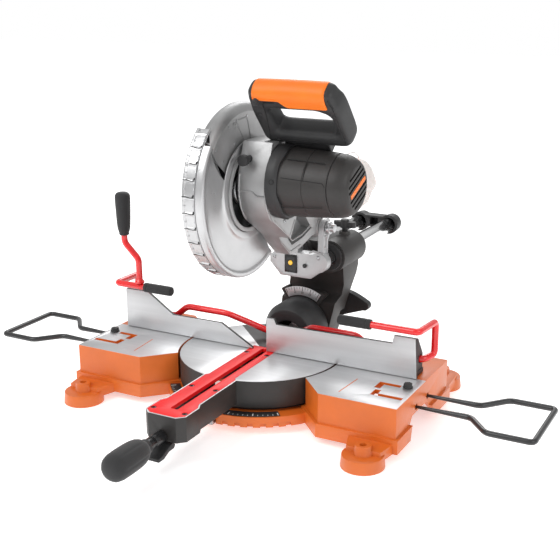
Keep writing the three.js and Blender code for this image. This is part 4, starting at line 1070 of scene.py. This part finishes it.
# ---------------------------------------------------------------- dust bag
BAG_LOW, BAG_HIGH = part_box("dust_bag")
BAG_CENTRE, BAG_HALF = (BAG_LOW + BAG_HIGH) / 2, (BAG_HIGH - BAG_LOW) / 2
CLOTH = {"quality": 6, "mass": 0.12, "vertex_group_mass": "pins", "use_pressure": True,
         "uniform_pressure_force": 0.6, "shrink_min": -0.05, "tension_stiffness": 12,
         "compression_stiffness": 12, "bending_stiffness": 0.05}
CLOTH_FRAMES = 18
CLOTH_REACH = 0.005
CRUMPLE = 0.0022


def bag_girth(t):
    """Share of the bag's full half size at a place from 0 to 1 along it."""
    return max(0.05, (1 - abs(2 * t - 1) ** 3.2) ** 0.62)


def bag_along(t):
    return BAG_LOW.y + (BAG_HIGH.y - BAG_LOW.y) * t


def swell_cloth(piece):
    """Inflates the bag by a cloth simulation, pinned at its two ends, and holds it to its CAD box."""
    start = np.array([v.co for v in piece.data.vertices])
    pins = piece.vertex_groups.new(name="pins")
    for v in piece.data.vertices:
        if v.co.y < BAG_LOW.y + 0.006 or v.co.y > BAG_HIGH.y - 0.004:
            pins.add([v.index], 1.0, "REPLACE")
    cloth = piece.modifiers.new("cloth", "CLOTH")
    for key, value in CLOTH.items():
        setattr(cloth.settings, key, value)
    cloth.collision_settings.use_collision = False
    scene = bpy.context.scene
    for frame_number in range(1, CLOTH_FRAMES + 1):
        scene.frame_set(frame_number)
    modified(piece)
    scene.frame_set(1)
    move = np.array([v.co for v in piece.data.vertices]) - start
    far = np.linalg.norm(move, axis=1)
    held = np.where(far > CLOTH_REACH, CLOTH_REACH / np.maximum(far, 1e-9), 1)
    end = np.clip(start + move * held[:, None], np.array(BAG_LOW) + 0.0003, np.array(BAG_HIGH) - 0.0003)
    piece.data.vertices.foreach_set("co", end.ravel())
    piece.data.update()


def bag_skin(count=34, around=56):
    """Pale cloth bag with pleats that fade towards its far end, swollen round its mouth."""
    rings = []
    for i in range(count):
        t = i / (count - 1)
        girth = bag_girth(t) * 0.97
        loop = []
        for a in turn_of(around):
            pleat = 1 - 0.02 * (1 - math.sin(math.pi * t)) * abs(math.sin(6 * a))
            p = Vector((BAG_CENTRE.x + BAG_HALF.x * girth * pleat * math.cos(a), bag_along(0.02 + 0.96 * t),
                        BAG_CENTRE.z + BAG_HALF.z * girth * pleat * math.sin(a)))
            loop.append(p + Vector((math.cos(a), 0, math.sin(a))) * noise.noise(p * 45) * CRUMPLE)
        rings.append(loop)
    bm = bmesh.new()
    skin(bm, rings)
    piece = obj("cloth_dust_bag", bm, "head", bag_cloth, "dust_bag", 60)
    swell_cloth(piece)
    modified(piece, ("SUBSURF", {"levels": 1, "render_levels": 1}))
    piece.data.shade_smooth()


def bag_trim():
    """Collar round the mouth and the sewn seam along the top."""
    collar = [(-3, 8.6), (-3, 11.4), (-2.2, 12.2), (2, 12.2), (3, 11.2), (3, 8.6)]
    slotted(turned_piece("collar_dust_bag", "head", black, None,
                         at(64, 72, 291.6), (1, 0.04, -0.12), collar, 48))
    bm = bmesh.new()
    seam = [Vector((BAG_CENTRE.x, bag_along(t), BAG_CENTRE.z + BAG_HALF.z * bag_girth(t) * 0.985))
            for t in (0.06 + 0.88 * i / 28 for i in range(29))]
    swept(bm, seam, 0.8, 8)
    trim("seam_dust_bag", bm, "head", bag_cloth)


bag_skin()
bag_trim()

# ---------------------------------------------------------------- screws, scales and small trim
def base_trim():
    """Screws of the kerf plate and the fence brackets, and the painted line on each wing."""
    up = (0, 0, 1)
    places = [(side * x, y, 64.1) for x, y in ((22, -222), (17.5, -146), (15.5, -12)) for side in (-1, 1)]
    screws("screws_kerf_plate", "table", black_gloss, places, up, 3.5, 1.7)
    bm = bmesh.new()
    for side in (-1, 1):
        line = [at(side * x, y, 65.95) for x, y in ((152.6, -80), (154.2, -80), (158.0, -31), (156.4, -31))]
        plate(bm, line, Vector((0, 0, 0.12 * MM)))
    trim("lines_wings", bm, "base", orange)
    places = [(side * x, 18, 72.5) for x in (134, 210) for side in (-1, 1)]
    screws("screws_fence_brackets", "base", steel, places, up, 4.2, 2.4)


def tick(degrees, outer, length, half_width):
    """Corners of a scale line that points at the centre of its scale."""
    c, s, w = math.cos(math.radians(degrees)), math.sin(math.radians(degrees)), half_width
    inner = outer - length
    return [(outer * c - w * s, outer * s + w * c), (outer * c + w * s, outer * s - w * c),
            (inner * c + w * s, inner * s - w * c), (inner * c - w * s, inner * s + w * c)]


def mitre_ticks():
    bm = bmesh.new()
    for degrees in range(-45, 46, 3):
        major = degrees % 15 == 0
        line = tick(degrees - 96, 123.8, 7 if major else 3.6, 0.6 if major else 0.35)
        plate(bm, [at(x, y, 25.35) for x, y in line], Vector((0, 0, 0.15 * MM)))
    trim("ticks_mitre_scale", bm, "base", white_ink)


BEVEL_AXIS_Z, BEVEL_ZERO, BEVEL_STEP = 66, 61, 4.6


def bevel_scale_marks():
    """Lines of the bevel scale, and a number at every third one."""
    bm = bmesh.new()
    for k in range(13):
        major = k % 3 == 0
        line = tick(BEVEL_ZERO + k * BEVEL_STEP, 57.2, 6 if major else 3.4, 0.42 if major else 0.26)
        plate(bm, [at(x, 120.96, BEVEL_AXIS_Z + z) for x, z in line], Vector((0, -0.12 * MM, 0)))
    trim("ticks_bevel_scale", bm, "tilt_arm", ink)
    for k, text in enumerate(("0", "15", "30", "45")):
        a = math.radians(BEVEL_ZERO + k * 3 * BEVEL_STEP)
        place = at(49.0 * math.cos(a), 120.85, BEVEL_AXIS_Z + 49.0 * math.sin(a))
        turn = Matrix.Rotation(math.radians(90), 4, "X") @ Matrix.Rotation(a - math.pi / 2, 4, "Z")
        label("bevel_number_" + text, text, 4.2 * MM, ink, "tilt_arm",
              Matrix.Translation(place) @ turn)


def label(name, text, size, mat, body, matrix):
    """Raised number of a scale, as a mesh."""
    curve = bpy.data.curves.new(name, "FONT")
    curve.body = text
    curve.size = size
    curve.align_x, curve.align_y = "CENTER", "CENTER"
    curve.extrude = 0.00006
    temp = bpy.data.objects.new(name + "_text", curve)
    bpy.context.scene.collection.objects.link(temp)
    bpy.context.view_layer.update()
    mesh = bpy.data.meshes.new_from_object(temp)
    bpy.data.objects.remove(temp)
    mesh.transform(matrix)
    mesh.materials.clear()
    mesh.materials.append(mat)
    piece = bpy.data.objects.new(name, mesh)
    bpy.context.scene.collection.objects.link(piece)
    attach(piece, body)
    slotted(piece)


base_trim()
mitre_ticks()
bevel_scale_marks()

# ---------------------------------------------------------------- stage, light and camera
SKY = ((0.0, 0.50), (0.47, 0.34), (0.54, 0.42), (0.66, 0.95), (0.78, 0.55), (1.0, 0.85))


def studio_sky(tree):
    """White backdrop for the camera; banded soft grey for everything that is lit or mirrored by it."""
    tree.nodes.clear()
    new, link = tree.nodes.new, tree.links.new
    split = new("ShaderNodeSeparateXYZ")
    link(new("ShaderNodeTexCoord").outputs["Generated"], split.inputs[0])
    height = new("ShaderNodeMapRange")
    height.inputs["From Min"].default_value = -1.0
    link(split.outputs[2], height.inputs["Value"])
    ramp = new("ShaderNodeValToRGB")
    ramp.color_ramp.interpolation = "B_SPLINE"
    stops = ramp.color_ramp.elements
    while len(stops) < len(SKY):
        stops.new(0.5)
    for stop, (place, value) in zip(stops, SKY):
        stop.position = place
        stop.color = (value, value, value, 1)
    link(height.outputs[0], ramp.inputs[0])
    lit, seen = new("ShaderNodeBackground"), new("ShaderNodeBackground")
    link(ramp.outputs[0], lit.inputs["Color"])
    lit.inputs["Strength"].default_value = 0.92
    seen.inputs["Color"].default_value = (1, 1, 1, 1)
    choice = new("ShaderNodeMixShader")
    link(new("ShaderNodeLightPath").outputs["Is Camera Ray"], choice.inputs[0])
    link(lit.outputs[0], choice.inputs[1])
    link(seen.outputs[0], choice.inputs[2])
    link(choice.outputs[0], new("ShaderNodeOutputWorld").inputs["Surface"])


FLOOR_HALF, FLOOR_DROP = 6, 0.5 * MM
# Name, place and aim in metres, side of the square lamp in metres, power in watts.
LAMPS = (("key", (-0.9, -1.6, 2.1), (0, 0, 0.15), 1.4, 30),
         ("side", (2.0, -0.7, 1.3), (0, 0, 0.2), 1.2, 12),
         ("back", (-0.6, 1.9, 1.7), (0, 0, 0.25), 1.3, 20))
LENS, SENSOR = 65.2, 36
EYE = (635.1, -1127.3, 556.9)
AZIMUTH, ELEVATION, ROLL = (math.radians(degrees) for degrees in (28.24, 16.8, -0.26))


def linked(name, data):
    made = bpy.data.objects.new(name, data)
    bpy.context.scene.collection.objects.link(made)
    return made


def stage_floor():
    n = Nodes("stage_white")
    white = n.shader((0.9, 0.9, 0.9), (0.6, 0.7), grain=(200, 0.00002), mottle=(4, 0.01))
    white.inputs["Emission Color"].default_value = (1, 1, 1, 1)
    white.inputs["Emission Strength"].default_value = 0.5
    bm = bmesh.new()
    bmesh.ops.create_grid(bm, x_segments=2, y_segments=2, size=FLOOR_HALF)
    mesh = bpy.data.meshes.new("floor")
    bm.to_mesh(mesh)
    bm.free()
    mesh.materials.append(n.done(white))
    floor = linked("floor", mesh)
    floor.location = (0, 0, -FLOOR_DROP)


def studio_light():
    world = bpy.data.worlds.new("studio")
    world.use_nodes = True
    studio_sky(world.node_tree)
    bpy.context.scene.world = world
    for name, place, aim, size, power in LAMPS:
        data = bpy.data.lights.new(name, "AREA")
        data.shape, data.size, data.energy = "SQUARE", size, power
        lamp = linked(name, data)
        lamp.location = place
        lamp.rotation_euler = (Vector(aim) - Vector(place)).to_track_quat("-Z", "Y").to_euler()
    bpy.context.scene.view_settings.view_transform = "Standard"


def studio_camera():
    data = bpy.data.cameras.new("camera")
    data.lens, data.sensor_width = LENS, SENSOR
    flat = math.cos(ELEVATION)
    back = Vector((math.sin(AZIMUTH) * flat, -math.cos(AZIMUTH) * flat, math.sin(ELEVATION)))
    right = Vector((math.cos(AZIMUTH), math.sin(AZIMUTH), 0))
    up = back.cross(right)
    c, s = math.cos(ROLL), math.sin(ROLL)
    turn = Matrix((c * right + s * up, c * up - s * right, back)).transposed()
    camera = linked("camera", data)
    camera.matrix_world = Matrix.Translation(at(*EYE)) @ turn.to_4x4()
    bpy.context.scene.camera = camera


stage_floor()
studio_light()
studio_camera()
